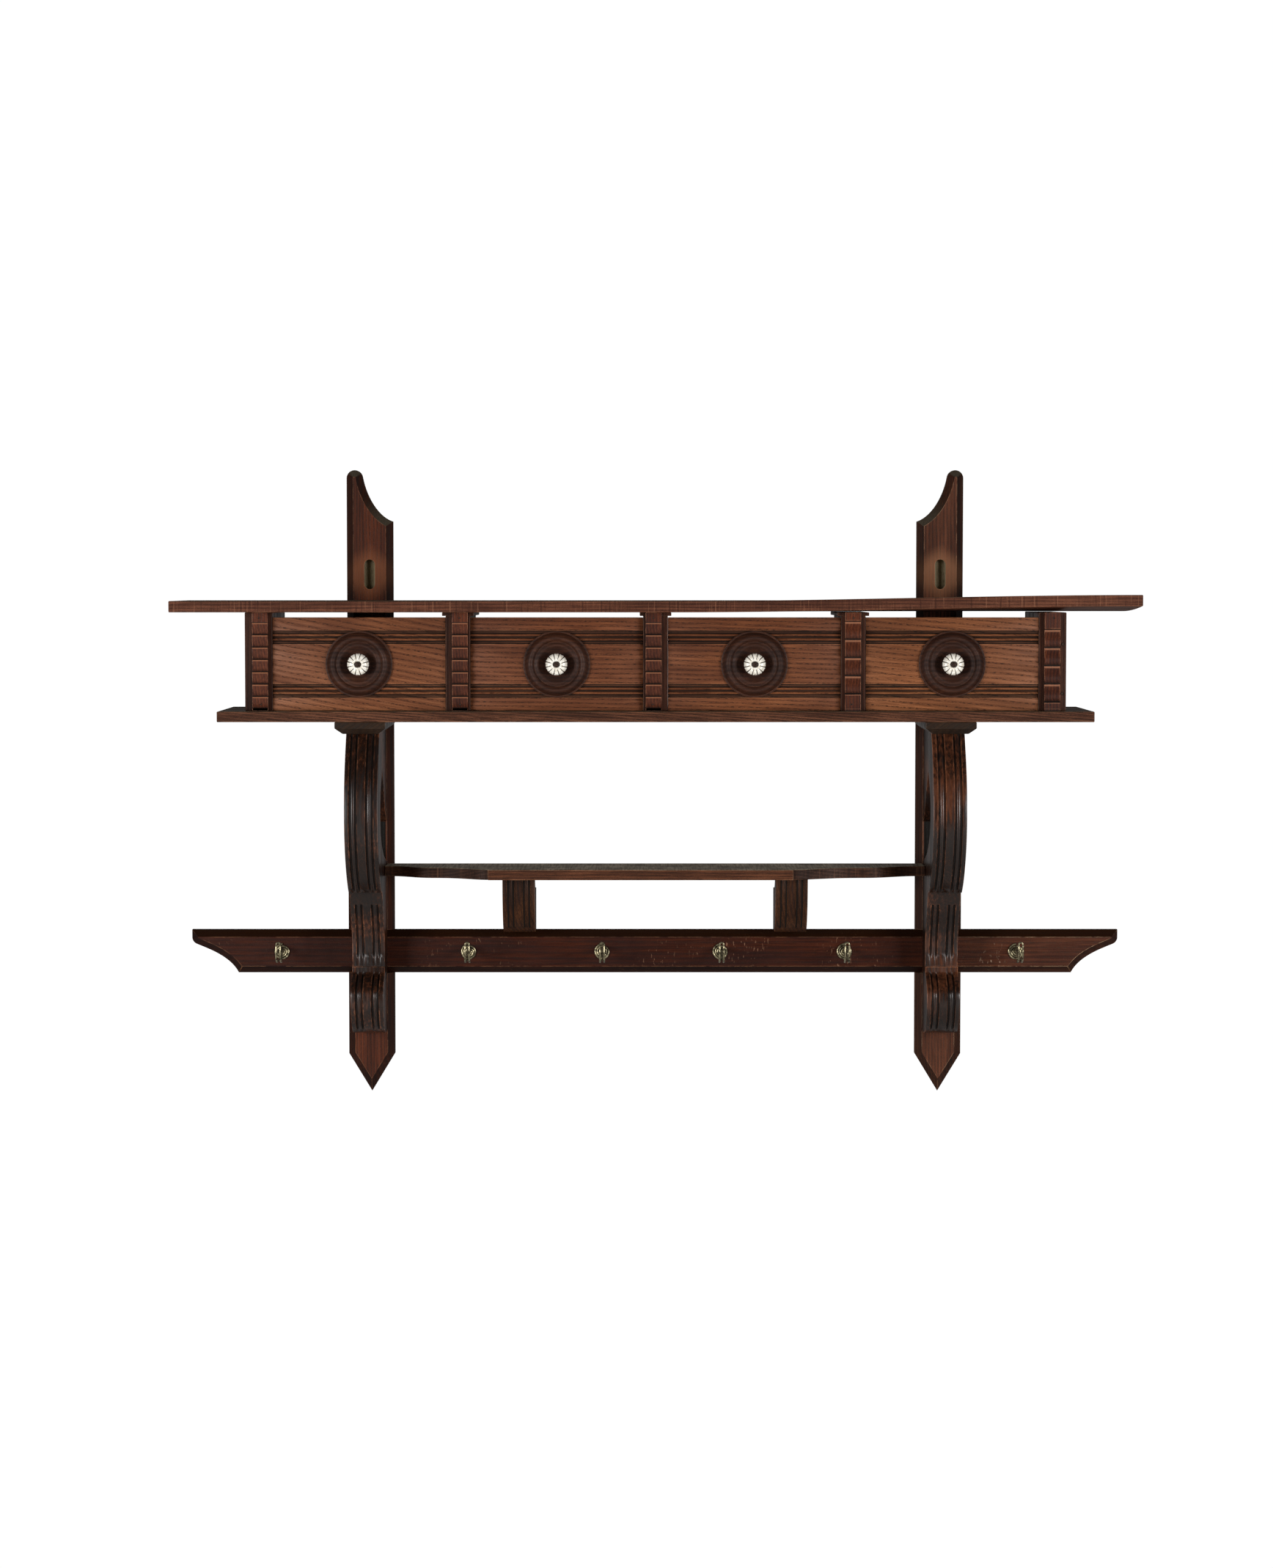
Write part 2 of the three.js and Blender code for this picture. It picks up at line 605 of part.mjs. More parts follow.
/** The round-ended mortise above the top shelf. */
function hangingSlot() {
  const radius = SLOT_WIDTH / 2;
  const foot = SHELF_TOP + SLOT_ABOVE_SHELF + radius;
  const head = foot + SLOT_LENGTH - SLOT_WIDTH;
  const outline = new THREE.Shape();
  outline.moveTo(radius, foot);
  outline.lineTo(radius, head);
  outline.absarc(0, head, radius, 0, Math.PI, false);
  outline.lineTo(-radius, foot);
  outline.absarc(0, foot, radius, Math.PI, 2 * Math.PI, false);
  return forward(outline, SLOT_DEPTH + 1, UPRIGHT_THICK - SLOT_DEPTH);
}

/** The rail; each end is straight, rounds inwards, and then runs down in a long hollow. */
function coatRail() {
  const corner = LENGTH / 2 - RAIL_INSET;
  const top = RAIL_HEIGHT / 2;
  const lower = corner - RAIL_END_SLOPE;
  const cornerFoot = top - BEVEL - 1;    // straight for as long as the bevel needs
  const round = RAIL_END_ROUND;
  const turn = Math.PI / 2 - RAIL_END_TILT;
  const hollowX = corner - round * (1 - Math.cos(turn));
  const hollowTop = cornerFoot - round * Math.sin(turn);
  const leadX = hollowX - RAIL_END_PULL * Math.cos(RAIL_END_TILT);
  const leadZ = hollowTop - RAIL_END_PULL * Math.sin(RAIL_END_TILT);
  const [footOut, footUp] = RAIL_FOOT_PULL;
  const outline = new THREE.Shape();
  outline.moveTo(-lower, -top);
  outline.lineTo(lower, -top);
  outline.bezierCurveTo(lower + footOut, footUp - top, leadX, leadZ, hollowX, hollowTop);
  outline.absarc(corner - round, cornerFoot, round, -turn, 0, false);
  outline.lineTo(corner, top);
  outline.lineTo(-corner, top);
  outline.absarc(round - corner, cornerFoot, round, Math.PI, Math.PI + turn, false);
  outline.bezierCurveTo(-leadX, leadZ, -lower - footOut, footUp - top, -lower, -top);
  const halvings = SIDES.map(([, side]) => block(
    [side * UPRIGHT_X - UPRIGHT_WIDTH / 2 - GAP, side * UPRIGHT_X + UPRIGHT_WIDTH / 2 + GAP],
    [-1, RAIL_THICK - BEVEL],
    [-top - 1, top + 1],
  ));
  return cut(bevelledBoard(outline, RAIL_THICK, BEVEL), ...halvings);
}

// ---- brackets, capitals and corbels ---------------------------------------------------

/** A fluted piece: the whole outline on the ribs, and a shallower one under the grooves. */
function fluted(outlineAt, width) {
  const ribs = [];
  let edge = -width / 2;
  for (const groove of [...FLUTE_PLACES, width / 2 + FLUTE_WIDTH / 2]) {
    const end = groove - FLUTE_WIDTH / 2;
    ribs.push(across(outlineAt(0), end - edge, (end + edge) / 2));
    edge = groove + FLUTE_WIDTH / 2;
  }
  return join(across(outlineAt(FLUTE_DEPTH), width), ...ribs);
}

/**
 * Side outline of a bracket: a neck swelling to a belly, a ledge, a waist over the rail, a
 * lip and a bulb. Behind the belly a scroll opening leaves a tongue against the upright.
 */
function bracketOutline(cutBack) {
  const head = CAPITAL_FLOOR - GAP;
  const neck = DEPTH - NECK_SETBACK - cutBack;
  const belly = DEPTH - BELLY_SETBACK - cutBack;
  const bellyLevel = CASE_RISE - BELLY_BELOW_CASE;
  const ledge = LEDGE_OUT - cutBack;
  const ledgeLevel = MIDDLE_SHELF_RISE - LEDGE_BELOW_SHELF;
  const waist = WAIST_OUT - cutBack;
  const lip = LIP_OUT - cutBack;
  const bulb = BULB_OUT - cutBack;
  const shelfTop = MIDDLE_SHELF_RISE + MIDDLE_SHELF_THICK;
  const tongueTip = CASE_RISE - TONGUE_BELOW_CASE;
  const scrollFront = [DEPTH - BELLY_SETBACK - BAND_DEPTH, bellyLevel - SCROLL_FRONT_DROP];
  const scrollPoint = [SCROLL_POINT_OUT, CASE_RISE - SCROLL_TOP_BELOW_CASE];
  const footFlat = bulb - FOOT_FLAT;
  const lipFoot = -LIP_DROP - LIP_HEIGHT;
  const scrollFoot = shelfTop + SCROLL_FOOT_RISE;
  const outline = new THREE.Shape();
  const curve = (from, fromPull, toPull, to) => outline.bezierCurveTo(
    from[0] + fromPull[0], from[1] + fromPull[1], to[0] + toPull[0], to[1] + toPull[1], ...to);
  outline.moveTo(BEHIND, head);
  outline.lineTo(neck, head);
  curve([neck, head], NECK_PULL, [0, BELLY_PULL], [belly, bellyLevel]);
  curve([belly, bellyLevel], [0, -BELLY_PULL], LEDGE_PULL, [ledge, ledgeLevel]);
  const [coveStart, coveTurn, coveEnd] = COVE.map(([out, up]) => [ledge + out, ledgeLevel + up]);
  outline.lineTo(...coveStart);
  outline.quadraticCurveTo(...coveTurn, ...coveEnd);
  curve(coveEnd, COVE_PULL, [0, WAIST_PULL], [waist, -LIP_DROP]);
  outline.lineTo(lip, -LIP_DROP);
  outline.lineTo(lip, lipFoot);
  curve([lip, lipFoot], LIP_PULL, [0, BULB_PULLS[0]], [bulb, -BULB_DROP]);
  curve([bulb, -BULB_DROP], [0, -BULB_PULLS[1]], [FOOT_PULL, 0], [footFlat, -BRACKET_DROP]);
  outline.lineTo(BEHIND, -BRACKET_DROP);
  outline.lineTo(BEHIND, scrollFoot);
  curve([BEHIND, scrollFoot], SCROLL_FOOT_PULL, [0, -SCROLL_FRONT_PULLS[0]], scrollFront);
  curve(scrollFront, [0, SCROLL_FRONT_PULLS[1]], SCROLL_POINT_PULL, scrollPoint);
  curve(scrollPoint, TONGUE_PULLS[0], TONGUE_PULLS[1], [BEHIND, tongueTip]);
  return outline;
}

/** A block under the bottom board, its lower edge chamfered at the front and both sides. */
function capital() {
  const half = CAPITAL_WIDTH / 2;
  const front = DEPTH - CAPITAL_SETBACK;
  const top = CASE_RISE - GAP;
  const chamferTop = CAPITAL_FLOOR + CAPITAL_CHAMFER_RISE;
  const endView = new THREE.Shape();
  endView.moveTo(half, top);
  endView.lineTo(-half, top);
  endView.lineTo(-half, chamferTop);
  endView.lineTo(-half + CAPITAL_CHAMFER, CAPITAL_FLOOR);
  endView.lineTo(half - CAPITAL_CHAMFER, CAPITAL_FLOOR);
  endView.lineTo(half, chamferTop);
  const sideView = new THREE.Shape();
  sideView.moveTo(BEHIND, top);
  sideView.lineTo(front, top);
  sideView.lineTo(front, chamferTop);
  sideView.lineTo(front - CAPITAL_CHAMFER, CAPITAL_FLOOR);
  sideView.lineTo(BEHIND, CAPITAL_FLOOR);
  return forward(endView, front - BEHIND, BEHIND).intersect(across(sideView, CAPITAL_WIDTH + 2));
}

/** Side outline of a corbel: a swelling front, and a hollow cut out above its heel. */
function corbelOutline(cutBack) {
  const foot = RAIL_HEIGHT / 2 + GAP;
  const head = MIDDLE_SHELF_RISE - GAP;
  const heel = MIDDLE_SHELF_RISE - CORBEL_HEEL_DROP;
  const top = CORBEL_TOP_OUT - cutBack;
  const toe = CORBEL_FOOT_OUT - cutBack;
  const band = CORBEL_TOP_OUT - CORBEL_BAND;
  const [pullOut, pullUp] = CORBEL_TOE_PULL;
  const outline = new THREE.Shape();
  outline.moveTo(0, foot);
  outline.lineTo(toe, foot);
  outline.bezierCurveTo(toe + pullOut, foot + pullUp, top, head - CORBEL_TOP_PULL, top, head);
  outline.lineTo(band, head);
  outline.quadraticCurveTo(band - CORBEL_HOLLOW_LEAN, heel, CORBEL_HEEL_OUT, heel);
  outline.lineTo(0, heel);
  return outline;
}

// ---- coat hooks -----------------------------------------------------------------------

/** A hook: the coiled wire plate on the rail, and a doubled wire that dips and turns up. */
function hook() {
  const face = RAIL_THICK + GAP;
  const plateThick = WIRE;
  const inset = WIRE / 2;
  const tip = face + HOOK_REACH - inset;
  const plate = turned([
    [0, face], [HOOK_PLATE_RADIUS, face], [HOOK_PLATE_RADIUS, face + plateThick / 2],
    [HOOK_PLATE_RADIUS - inset, face + plateThick], [0, face + plateThick],
  ], 20);
  const route = new THREE.CatmullRomCurve3([
    [face + inset, 0],
    [face + 0.16 * HOOK_REACH, 0.8 * HOOK_RISE],
    [face + 0.34 * HOOK_REACH, 0.6 * HOOK_RISE],
    [face + 0.54 * HOOK_REACH, -0.55 * HOOK_SAG],
    [face + 0.74 * HOOK_REACH, inset - HOOK_SAG],
    [tip - 3.5, -0.42 * HOOK_SAG],
    [tip, 0.22 * HOOK_TIP_RISE],
    [tip - 0.6, 0.62 * HOOK_TIP_RISE],
    [tip - 1.6, HOOK_TIP_RISE],
  ].map(([out, up]) => new THREE.Vector3(0, -out, up)));
  const half = HOOK_PAIR_WIDTH / 2;
  const round = WIRE / 2;
  const section = new THREE.Shape();
  section.moveTo(round, half - round);
  section.lineTo(0, half);
  section.lineTo(-round, half - round);
  section.lineTo(-round, round - half);
  section.lineTo(0, -half);
  section.lineTo(round, round - half);
  const wires = new THREE.ExtrudeGeometry(section, {
    steps: 15, bevelEnabled: false, extrudePath: route,
  });
  return join(solid(plate), solid(wires));
}

// ---- the assembly ---------------------------------------------------------------------

const shelf = new THREE.Group();
shelf.name = 'wall_shelf_with_drawers_and_coat_rail';

place(shelf, 'top_shelf', topShelf(), 'shelf');
place(shelf, 'bottom_board', bottomBoard(), 'shelf');
place(shelf, 'middle_shelf', middleShelf(), 'shelf', [0, 0, MIDDLE_SHELF_RISE]);
place(shelf, 'coat_rail', coatRail(), 'rail');

for (const [name, side] of SIDES) {
  const endX = side * (CASE_LENGTH - END_THICK) / 2;
  place(shelf, `end_panel_${name}`, endPanel(), 'frame', [endX, 0, 0]);

  const pier = new THREE.Group();
  pier.position.x = side * UPRIGHT_X;
  shelf.add(pier);
  place(pier, `upright_${name}`, upright(side), 'frame');
  place(pier, `bracket_${name}`, fluted(bracketOutline, BRACKET_WIDTH), 'bracket');
  place(pier, `capital_${name}`, capital(), 'bracket');

  const corbelX = (side * CORBEL_SPACING) / 2;
  place(shelf, `corbel_${name}`, fluted(corbelOutline, CORBEL_WIDTH), 'bracket', [corbelX, 0, 0]);
}

for (let i = 0; i < 3; i += 1) {
  place(shelf, `divider_${i + 1}`, divider(), 'frame', [(i - 1) * BAY_PITCH, 0, 0]);
}

const stripEnd = (CASE_LENGTH - END_THICK) / 2;
const stripPlaces = [-stripEnd, -BAY_PITCH, 0, BAY_PITCH, stripEnd];
const leafStrips = LEAF_TOP_BLOCKS.map(leafStrip);
stripPlaces.forEach((x, i) => {
  const carving = i < 3 ? scaleStrip() : leafStrips[i - 3];
  place(shelf, `carved_strip_${i + 1}`, carving, 'frame', [x + STRIP_SHIFTS[i], 0, 0]);
});

for (let i = 0; i < 4; i += 1) {
  shelf.add(drawer(`drawer_${i + 1}`, (i - 1.5) * BAY_PITCH));
}

const railCorner = LENGTH / 2 - RAIL_INSET;
const hookPlaces = [
  HOOK_FROM_END[0] - railCorner,
  HOOK_FROM_UPRIGHT[0] - UPRIGHT_X,
  ...HOOK_FROM_MIDDLE,
  UPRIGHT_X - HOOK_FROM_UPRIGHT[1],
  railCorner - HOOK_FROM_END[1],
];
hookPlaces.forEach((x, i) => place(shelf, `hook_${i + 1}`, hook(), 'hook', [x, 0, 0]));

export default shelf;
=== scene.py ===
import math

import bpy
from mathutils import Matrix, Vector


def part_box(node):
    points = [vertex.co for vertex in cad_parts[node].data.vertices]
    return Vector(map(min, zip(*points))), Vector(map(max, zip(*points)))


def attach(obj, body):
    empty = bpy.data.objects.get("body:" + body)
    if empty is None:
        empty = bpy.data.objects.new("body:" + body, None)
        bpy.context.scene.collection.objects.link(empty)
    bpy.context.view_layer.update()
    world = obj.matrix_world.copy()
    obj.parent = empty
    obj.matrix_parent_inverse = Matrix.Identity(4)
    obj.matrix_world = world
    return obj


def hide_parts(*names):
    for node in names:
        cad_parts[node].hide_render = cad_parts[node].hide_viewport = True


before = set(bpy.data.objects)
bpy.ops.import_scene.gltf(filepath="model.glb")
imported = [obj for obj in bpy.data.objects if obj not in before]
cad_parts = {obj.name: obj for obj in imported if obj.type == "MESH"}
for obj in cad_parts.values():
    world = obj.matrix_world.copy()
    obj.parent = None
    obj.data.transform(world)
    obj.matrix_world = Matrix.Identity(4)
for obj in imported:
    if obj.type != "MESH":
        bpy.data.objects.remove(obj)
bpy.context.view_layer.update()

# ---- Top shelf ------------------------------------------------------------------------------
# One long board of stained softwood, nailed down on the drawer case. Its front right corner
# has warped upwards, and its front edge still shows the close marks of the saw.


def pick(piece):
    """Makes one piece the only one selected, and the active one."""
    bpy.ops.object.select_all(action="DESELECT")
    piece.select_set(True)
    bpy.context.view_layer.objects.active = piece


def choose(piece, kind, wanted):
    """Goes into edit mode with only those faces or edges selected that `wanted` picks."""
    pick(piece)
    bpy.ops.object.mode_set(mode="EDIT")
    bpy.ops.mesh.select_mode(type=kind)
    bpy.ops.mesh.select_all(action="DESELECT")
    bpy.ops.object.mode_set(mode="OBJECT")
    for item in piece.data.polygons if kind == "FACE" else piece.data.edges:
        item.select = wanted(item)
    bpy.ops.object.mode_set(mode="EDIT")


def board(name, low, high):
    """A squared board between two corners."""
    bpy.ops.object.select_all(action="DESELECT")
    bpy.ops.mesh.primitive_cube_add(size=1, location=(low + high) / 2, scale=high - low)
    bpy.ops.object.transform_apply(location=True, rotation=True, scale=True)
    piece = bpy.context.object
    piece.name = name
    return piece


def slice_up(piece, axis, cuts):
    """Divides a board evenly along one axis, so that it can bend."""
    def runs_along(edge):
        first, last = (piece.data.vertices[i].co for i in edge.vertices)
        return abs(last[axis] - first[axis]) > 0.9 * (last - first).length

    choose(piece, "EDGE", runs_along)
    bpy.ops.mesh.subdivide(number_cuts=cuts)
    bpy.ops.object.mode_set(mode="OBJECT")


def ease(piece, width, sharp=30):
    """Rounds a piece's arrises over and shades its flat faces flat and its curves smooth."""
    pick(piece)
    rounding = piece.modifiers.new("Eased arrises", "BEVEL")
    rounding.width = width
    rounding.segments = 3
    rounding.limit_method = "ANGLE"
    rounding.angle_limit = math.radians(sharp)
    bpy.ops.object.modifier_apply(modifier=rounding.name)
    bpy.ops.object.shade_smooth()
    shading = piece.modifiers.new("Flat faces", "WEIGHTED_NORMAL")
    bpy.ops.object.modifier_apply(modifier=shading.name)


def fit(piece, body, slot, material, *nodes):
    """Gives a finished piece its material and the body it moves with, and hides the parts it stands
    for. The slot is not used.
    """
    piece.data.materials.clear()
    piece.data.materials.append(material)
    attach(piece, body)
    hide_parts(*nodes)


def put(tree, kind, inputs, **settings):
    """Adds a shader node and fills its inputs, each from another node or with a value."""
    node = tree.nodes.new("ShaderNode" + kind)
    for name, value in settings.items():
        setattr(node, name, value)
    for name, value in inputs.items():
        if isinstance(value, bpy.types.NodeSocket):
            tree.links.new(value, node.inputs[name])
        else:
            node.inputs[name].default_value = value
    return node.outputs


def reckon(tree, operation, first, second=0.0):
    return put(tree, "Math", {0: first, 1: second}, operation=operation)[0]


def between(tree, value, low, high, to_low=0.0, to_high=1.0):
    """Eases a value from to_low to to_high as it goes from low to high."""
    limits = {"Value": value, "From Min": low, "From Max": high,
              "To Min": to_low, "To Max": to_high}
    return put(tree, "MapRange", limits, interpolation_type="SMOOTHSTEP")[0]


def mixed(tree, share, first, second, how="MIX"):
    return put(tree, "Mix", {0: share, 6: first, 7: second}, data_type="RGBA", blend_type=how)[2]


def times(tree, first, second):
    return reckon(tree, "MULTIPLY", first, second)


def tinted(tree, looks, tint):
    return mixed(tree, 1.0, looks, tint, "MULTIPLY")


def stretched(tree, places, scale):
    """Places drawn out or squeezed along each axis."""
    return put(tree, "VectorMath", {0: places, 1: scale}, operation="MULTIPLY")[0]


def noise(tree, places, scale, detail):
    return put(tree, "TexNoise", {"Vector": places, "Scale": scale, "Detail": detail})[0]


def effect(name, inputs, outputs):
    """Starts a group of nodes that several materials share."""
    tree = bpy.data.node_groups.new(name, "ShaderNodeTree")
    kinds = {"v": "NodeSocketVector", "c": "NodeSocketColor", "f": "NodeSocketFloat"}
    for socket, kind in inputs.items():
        tree.interface.new_socket(socket, in_out="INPUT", socket_type=kinds[kind])
    for socket, kind in outputs.items():
        tree.interface.new_socket(socket, in_out="OUTPUT", socket_type=kinds[kind])
    return tree, tree.nodes.new("NodeGroupInput").outputs, tree.nodes.new("NodeGroupOutput").inputs


def colour(red, green, blue):
    """A colour given as it looks, from 0 to 255, in the renderer's own terms."""
    return (*((value / 255) ** 2.2 for value in (red, green, blue)), 1)


SHADE_BLACK = (0.005, 0.003, 0.002, 1)  # painted shade at its darkest, in hollows and grooves and on the middle shelf's curves

# Wood grain, all of it running along X: growth lines across Z, short dark pores in them,
# fine long fibres, and slow changes of tone
grain, given, made = effect(
    "Wood grain",
    {"Place": "v", "Pale": "c", "Dark": "c", "Spacing": "f", "Swirl": "f", "Fibres": "f",
     "Pores": "f"},
    {"Colour": "c", "Height": "f", "Tone": "f"},
)
along_grain = stretched(grain, given["Place"], (0.12, 1, 1))
fine_grain = stretched(grain, given["Place"], (0.03, 1, 1))
sides = put(grain, "SeparateXYZ", {0: given["Place"]})
swirl = noise(grain, along_grain, 13, 2)
depth = reckon(grain, "ADD", sides["Z"], times(grain, sides["Y"], 0.4))
turns = reckon(grain, "DIVIDE", times(grain, depth, 2 * math.pi), given["Spacing"])
turns = reckon(grain, "ADD", turns, times(grain, swirl, given["Swirl"]))
growth = reckon(grain, "SINE", turns)
dash = stretched(grain, given["Place"], (0.24, 1, 1))
dash = noise(grain, dash, 1050, 1)
pore = times(grain, between(grain, dash, 0.47, 0.60), between(grain, growth, 0.35, 0.92))
pore = times(grain, pore, given["Pores"])
blotch = put(grain, "TexNoise",
             {"Vector": along_grain, "Scale": 55, "Detail": 5, "Roughness": 0.6})[0]
fibre = noise(grain, fine_grain, 900, 3)
speckle = noise(grain, given["Place"], 1300, 2)
tone = reckon(grain, "ADD", between(grain, growth, -1, 1, 0.28, 0.0),
              between(grain, blotch, 0.3, 0.7, 0.0, 0.72))
wood = mixed(grain, tone, given["Dark"], given["Pale"])
streak = times(grain, between(grain, fibre, 0.60, 0.36), given["Fibres"])
wood = mixed(grain, streak, wood, given["Dark"])
flecks = between(grain, speckle, 0.3, 0.7, 0.82, 1.18)
flecks = put(grain, "CombineXYZ", {0: flecks, 1: flecks, 2: flecks})[0]
wood = mixed(grain, 1.0, wood, flecks, "MULTIPLY")
pore_black = (0.012, 0.006, 0.003, 1)
grain.links.new(mixed(grain, pore, wood, pore_black), made["Colour"])
height = reckon(grain, "SUBTRACT", times(grain, fibre, 0.5), pore)
grain.links.new(height, made["Height"])
grain.links.new(tone, made["Tone"])

# Wear and painted shade: a broken line of wear along each arris, and painted shade in hollows
wear, given, made = effect(
    "Wear and painted shade", {"Reach": "f", "Breakup": "f", "Hollows": "f"}, {"Worn": "f", "Painted shade": "f"}
)
places = put(wear, "TexCoord", {})["Object"]
rounded = put(wear, "Bevel", {"Radius": given["Reach"]}, samples=4)[0]
facing = put(wear, "NewGeometry", {})["Normal"]
turn = put(wear, "VectorMath", {0: rounded, 1: facing}, operation="DOT_PRODUCT")["Value"]
arris = between(wear, turn, 0.99, 0.90)
pale_share = noise(wear, places, given["Breakup"], 6)
wear.links.new(times(wear, arris, between(wear, pale_share, 0.36, 0.58)), made["Worn"])
open_air = put(
    wear, "AmbientOcclusion", {"Distance": given["Hollows"]}, samples=4, only_local=True)["AO"]
wear.links.new(between(wear, open_air, 0.85, 0.25), made["Painted shade"])

ALONG_X = (0, 0, 0)
ALONG_Y = (0, 0, math.radians(90))
ALONG_Z = (0, math.radians(90), 0)


def stained(name, pale, dark, bare_and_highlit, run=ALONG_X, spacing=0.005, swirl=16, fibres=0.5, pores=0.6,
            rough=0.5, gloss=0.12, worn=0.6, reach=0.0012, hollows=0.006, hollow_shade=0.8, relief=0.3):
    """Stained wood. Gives back the material, its shader, its colour socket and its nodes."""
    material = bpy.data.materials.new(name)
    material.use_nodes = True
    tree = material.node_tree
    shader = tree.nodes["Principled BSDF"]
    places = put(tree, "TexCoord", {})["Object"]
    turned_to = put(tree, "Mapping", {"Vector": places, "Rotation": run})[0]
    wood = put(tree, "Group", {}, node_tree=grain)
    inputs = wood[0].node.inputs
    tree.links.new(turned_to, inputs["Place"])
    for socket, value in (("Pale", pale), ("Dark", dark), ("Spacing", spacing), ("Swirl", swirl),
                          ("Fibres", fibres), ("Pores", pores)):
        inputs[socket].default_value = value
    marks = put(tree, "Group", {}, node_tree=wear)
    marks[0].node.inputs["Reach"].default_value = reach
    marks[0].node.inputs["Breakup"].default_value = 90
    marks[0].node.inputs["Hollows"].default_value = hollows
    # Painted light from a mesh attribute: below 0 a painted highlight in the bare colour, above 0
    # painted shade towards near black
    painted_light = put(tree, "Attribute", {}, attribute_name="painted_light")["Fac"]
    pale_share = times(tree, marks["Worn"], worn)
    pale_share = reckon(tree, "MAXIMUM", pale_share, between(tree, painted_light, 0, -1))
    looks = mixed(tree, pale_share, wood["Colour"], bare_and_highlit)
    # Painted shade in the hollows from ambient occlusion, joined with the attribute's painted shade
    painted_shade_mask = times(tree, marks["Painted shade"], hollow_shade)
    painted_shade_mask = reckon(tree, "MAXIMUM", painted_shade_mask, between(tree, painted_light, 0, 1))
    looks = mixed(tree, painted_shade_mask, looks, SHADE_BLACK)
    tree.links.new(looks, shader.inputs["Base Color"])
    polish = between(tree, wood["Tone"], 0, 1, rough + 0.10, rough - 0.08)
    tree.links.new(reckon(tree, "ADD", polish, times(tree, painted_shade_mask, 0.3)),
                   shader.inputs["Roughness"])
    bump = put(tree, "Bump", {"Height": wood["Height"], "Strength": relief, "Distance": 0.0005})[0]
    tree.links.new(bump, shader.inputs["Normal"])
    shader.inputs["Specular IOR Level"].default_value = gloss
    return material, shader, looks, tree


shelf_wood, shader, looks, tree = stained(
    "Stained shelf board", colour(112, 70, 52), colour(56, 31, 22), colour(160, 116, 88),
    spacing=0.004, swirl=22, fibres=0.6, pores=0.3, rough=0.55, worn=0.8)


def saw_marks(tree, looks, lean, strength):
    """Close dark and pale lines across the front edge, leaning back along X as they rise."""
    places = put(tree, "TexCoord", {})
    across = put(tree, "Mapping", {"Vector": places["Object"], "Rotation": (0, lean, 0),
                                   "Scale": (1, 0.1, 0.04)})[0]
    saw = noise(tree, across, 420, 3)
    sides = put(tree, "SeparateXYZ", {0: places["Normal"]})
    front_face = times(tree, between(tree, sides["Y"], -0.55, -0.9), strength)
    sawn_line = times(tree, between(tree, saw, 0.54, 0.66), front_face)
    looks = mixed(tree, sawn_line, looks, colour(44, 24, 17))
    ridge = times(tree, between(tree, saw, 0.42, 0.32), front_face)
    return mixed(tree, times(tree, ridge, 0.6), looks, colour(142, 98, 74))


def dusty(tree, looks, grey):
    """Dust on whatever faces upwards."""
    places = put(tree, "TexCoord", {})
    upper_face = between(tree, put(tree, "SeparateXYZ", {0: places["Normal"]})["Z"], 0.55, 0.9)
    patchy = noise(tree, places["Object"], 34, 5)
    patchy = times(tree, between(tree, patchy, 0.3, 0.7, 0.35, 0.8), upper_face)
    return mixed(tree, patchy, looks, grey)


house_dust = colour(124, 108, 90)
looks = dusty(tree, saw_marks(tree, looks, 0, 0.62), house_dust)
tree.links.new(looks, shader.inputs["Base Color"])

low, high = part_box("top_shelf")
thick = 0.0128
shelf_board = board("shelf_board", low, Vector((high.x, high.y, low.z + thick)))
slice_up(shelf_board, 0, 54)
slice_up(shelf_board, 1, 9)
warp_start = 0.020
lift = high.z - low.z - thick
for vertex in shelf_board.data.vertices:
    along = min(max((vertex.co.x - warp_start) / (high.x - warp_start), 0), 1)
    forwards = (high.y - vertex.co.y) / (high.y - low.y)
    vertex.co.z += lift * along * along * (3 - 2 * along) * forwards * forwards
ease(shelf_board, 0.0011)
fit(shelf_board, "root", "shelf", shelf_wood, "top_shelf")

# ---- Bottom board ---------------------------------------------------------------------------
# The floor of the drawer case: a thinner board that runs on past both end panels, its grain
# streaked dark, its arrises worn light and its top dusty.

floor_wood, shader, looks, tree = stained(
    "Stained case floor", colour(104, 67, 49), colour(50, 29, 20), colour(164, 124, 96),
    run=(0, math.radians(-4), 0), spacing=0.0034, swirl=26, fibres=0.9, pores=0.7, rough=0.55,
    worn=0.9)
tree.links.new(dusty(tree, looks, house_dust), shader.inputs["Base Color"])

low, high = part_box("bottom_board")
case_floor = board("case_floor", low, high)
ease(case_floor, 0.0011)
fit(case_floor, "root", "shelf", floor_wood, "bottom_board")

# ---- End panels and dividers ----------------------------------------------------------------
# Upright boards between the bottom board and the top shelf. Each divider carries a cleat
# along its top, a little wider than itself, that the shelf is nailed to.

case_wood = stained(
    "Stained case wood", colour(84, 54, 43), colour(40, 24, 18), colour(132, 98, 78),
    run=ALONG_Z, spacing=0.004, pores=0.4, rough=0.45, worn=0.7)[0]


def joined(name, *pieces):
    """Several pieces glued up into one."""
    pick(pieces[0])
    for piece in pieces[1:]:
        piece.select_set(True)
    bpy.ops.object.join()
    pieces[0].name = name
    return pieces[0]


for side in ("left", "right"):
    low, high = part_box(f"end_panel_{side}")
    panel = board(f"case_end_{side}", low, high)
    ease(panel, 0.0009)
    fit(panel, "root", "frame", case_wood, f"end_panel_{side}")

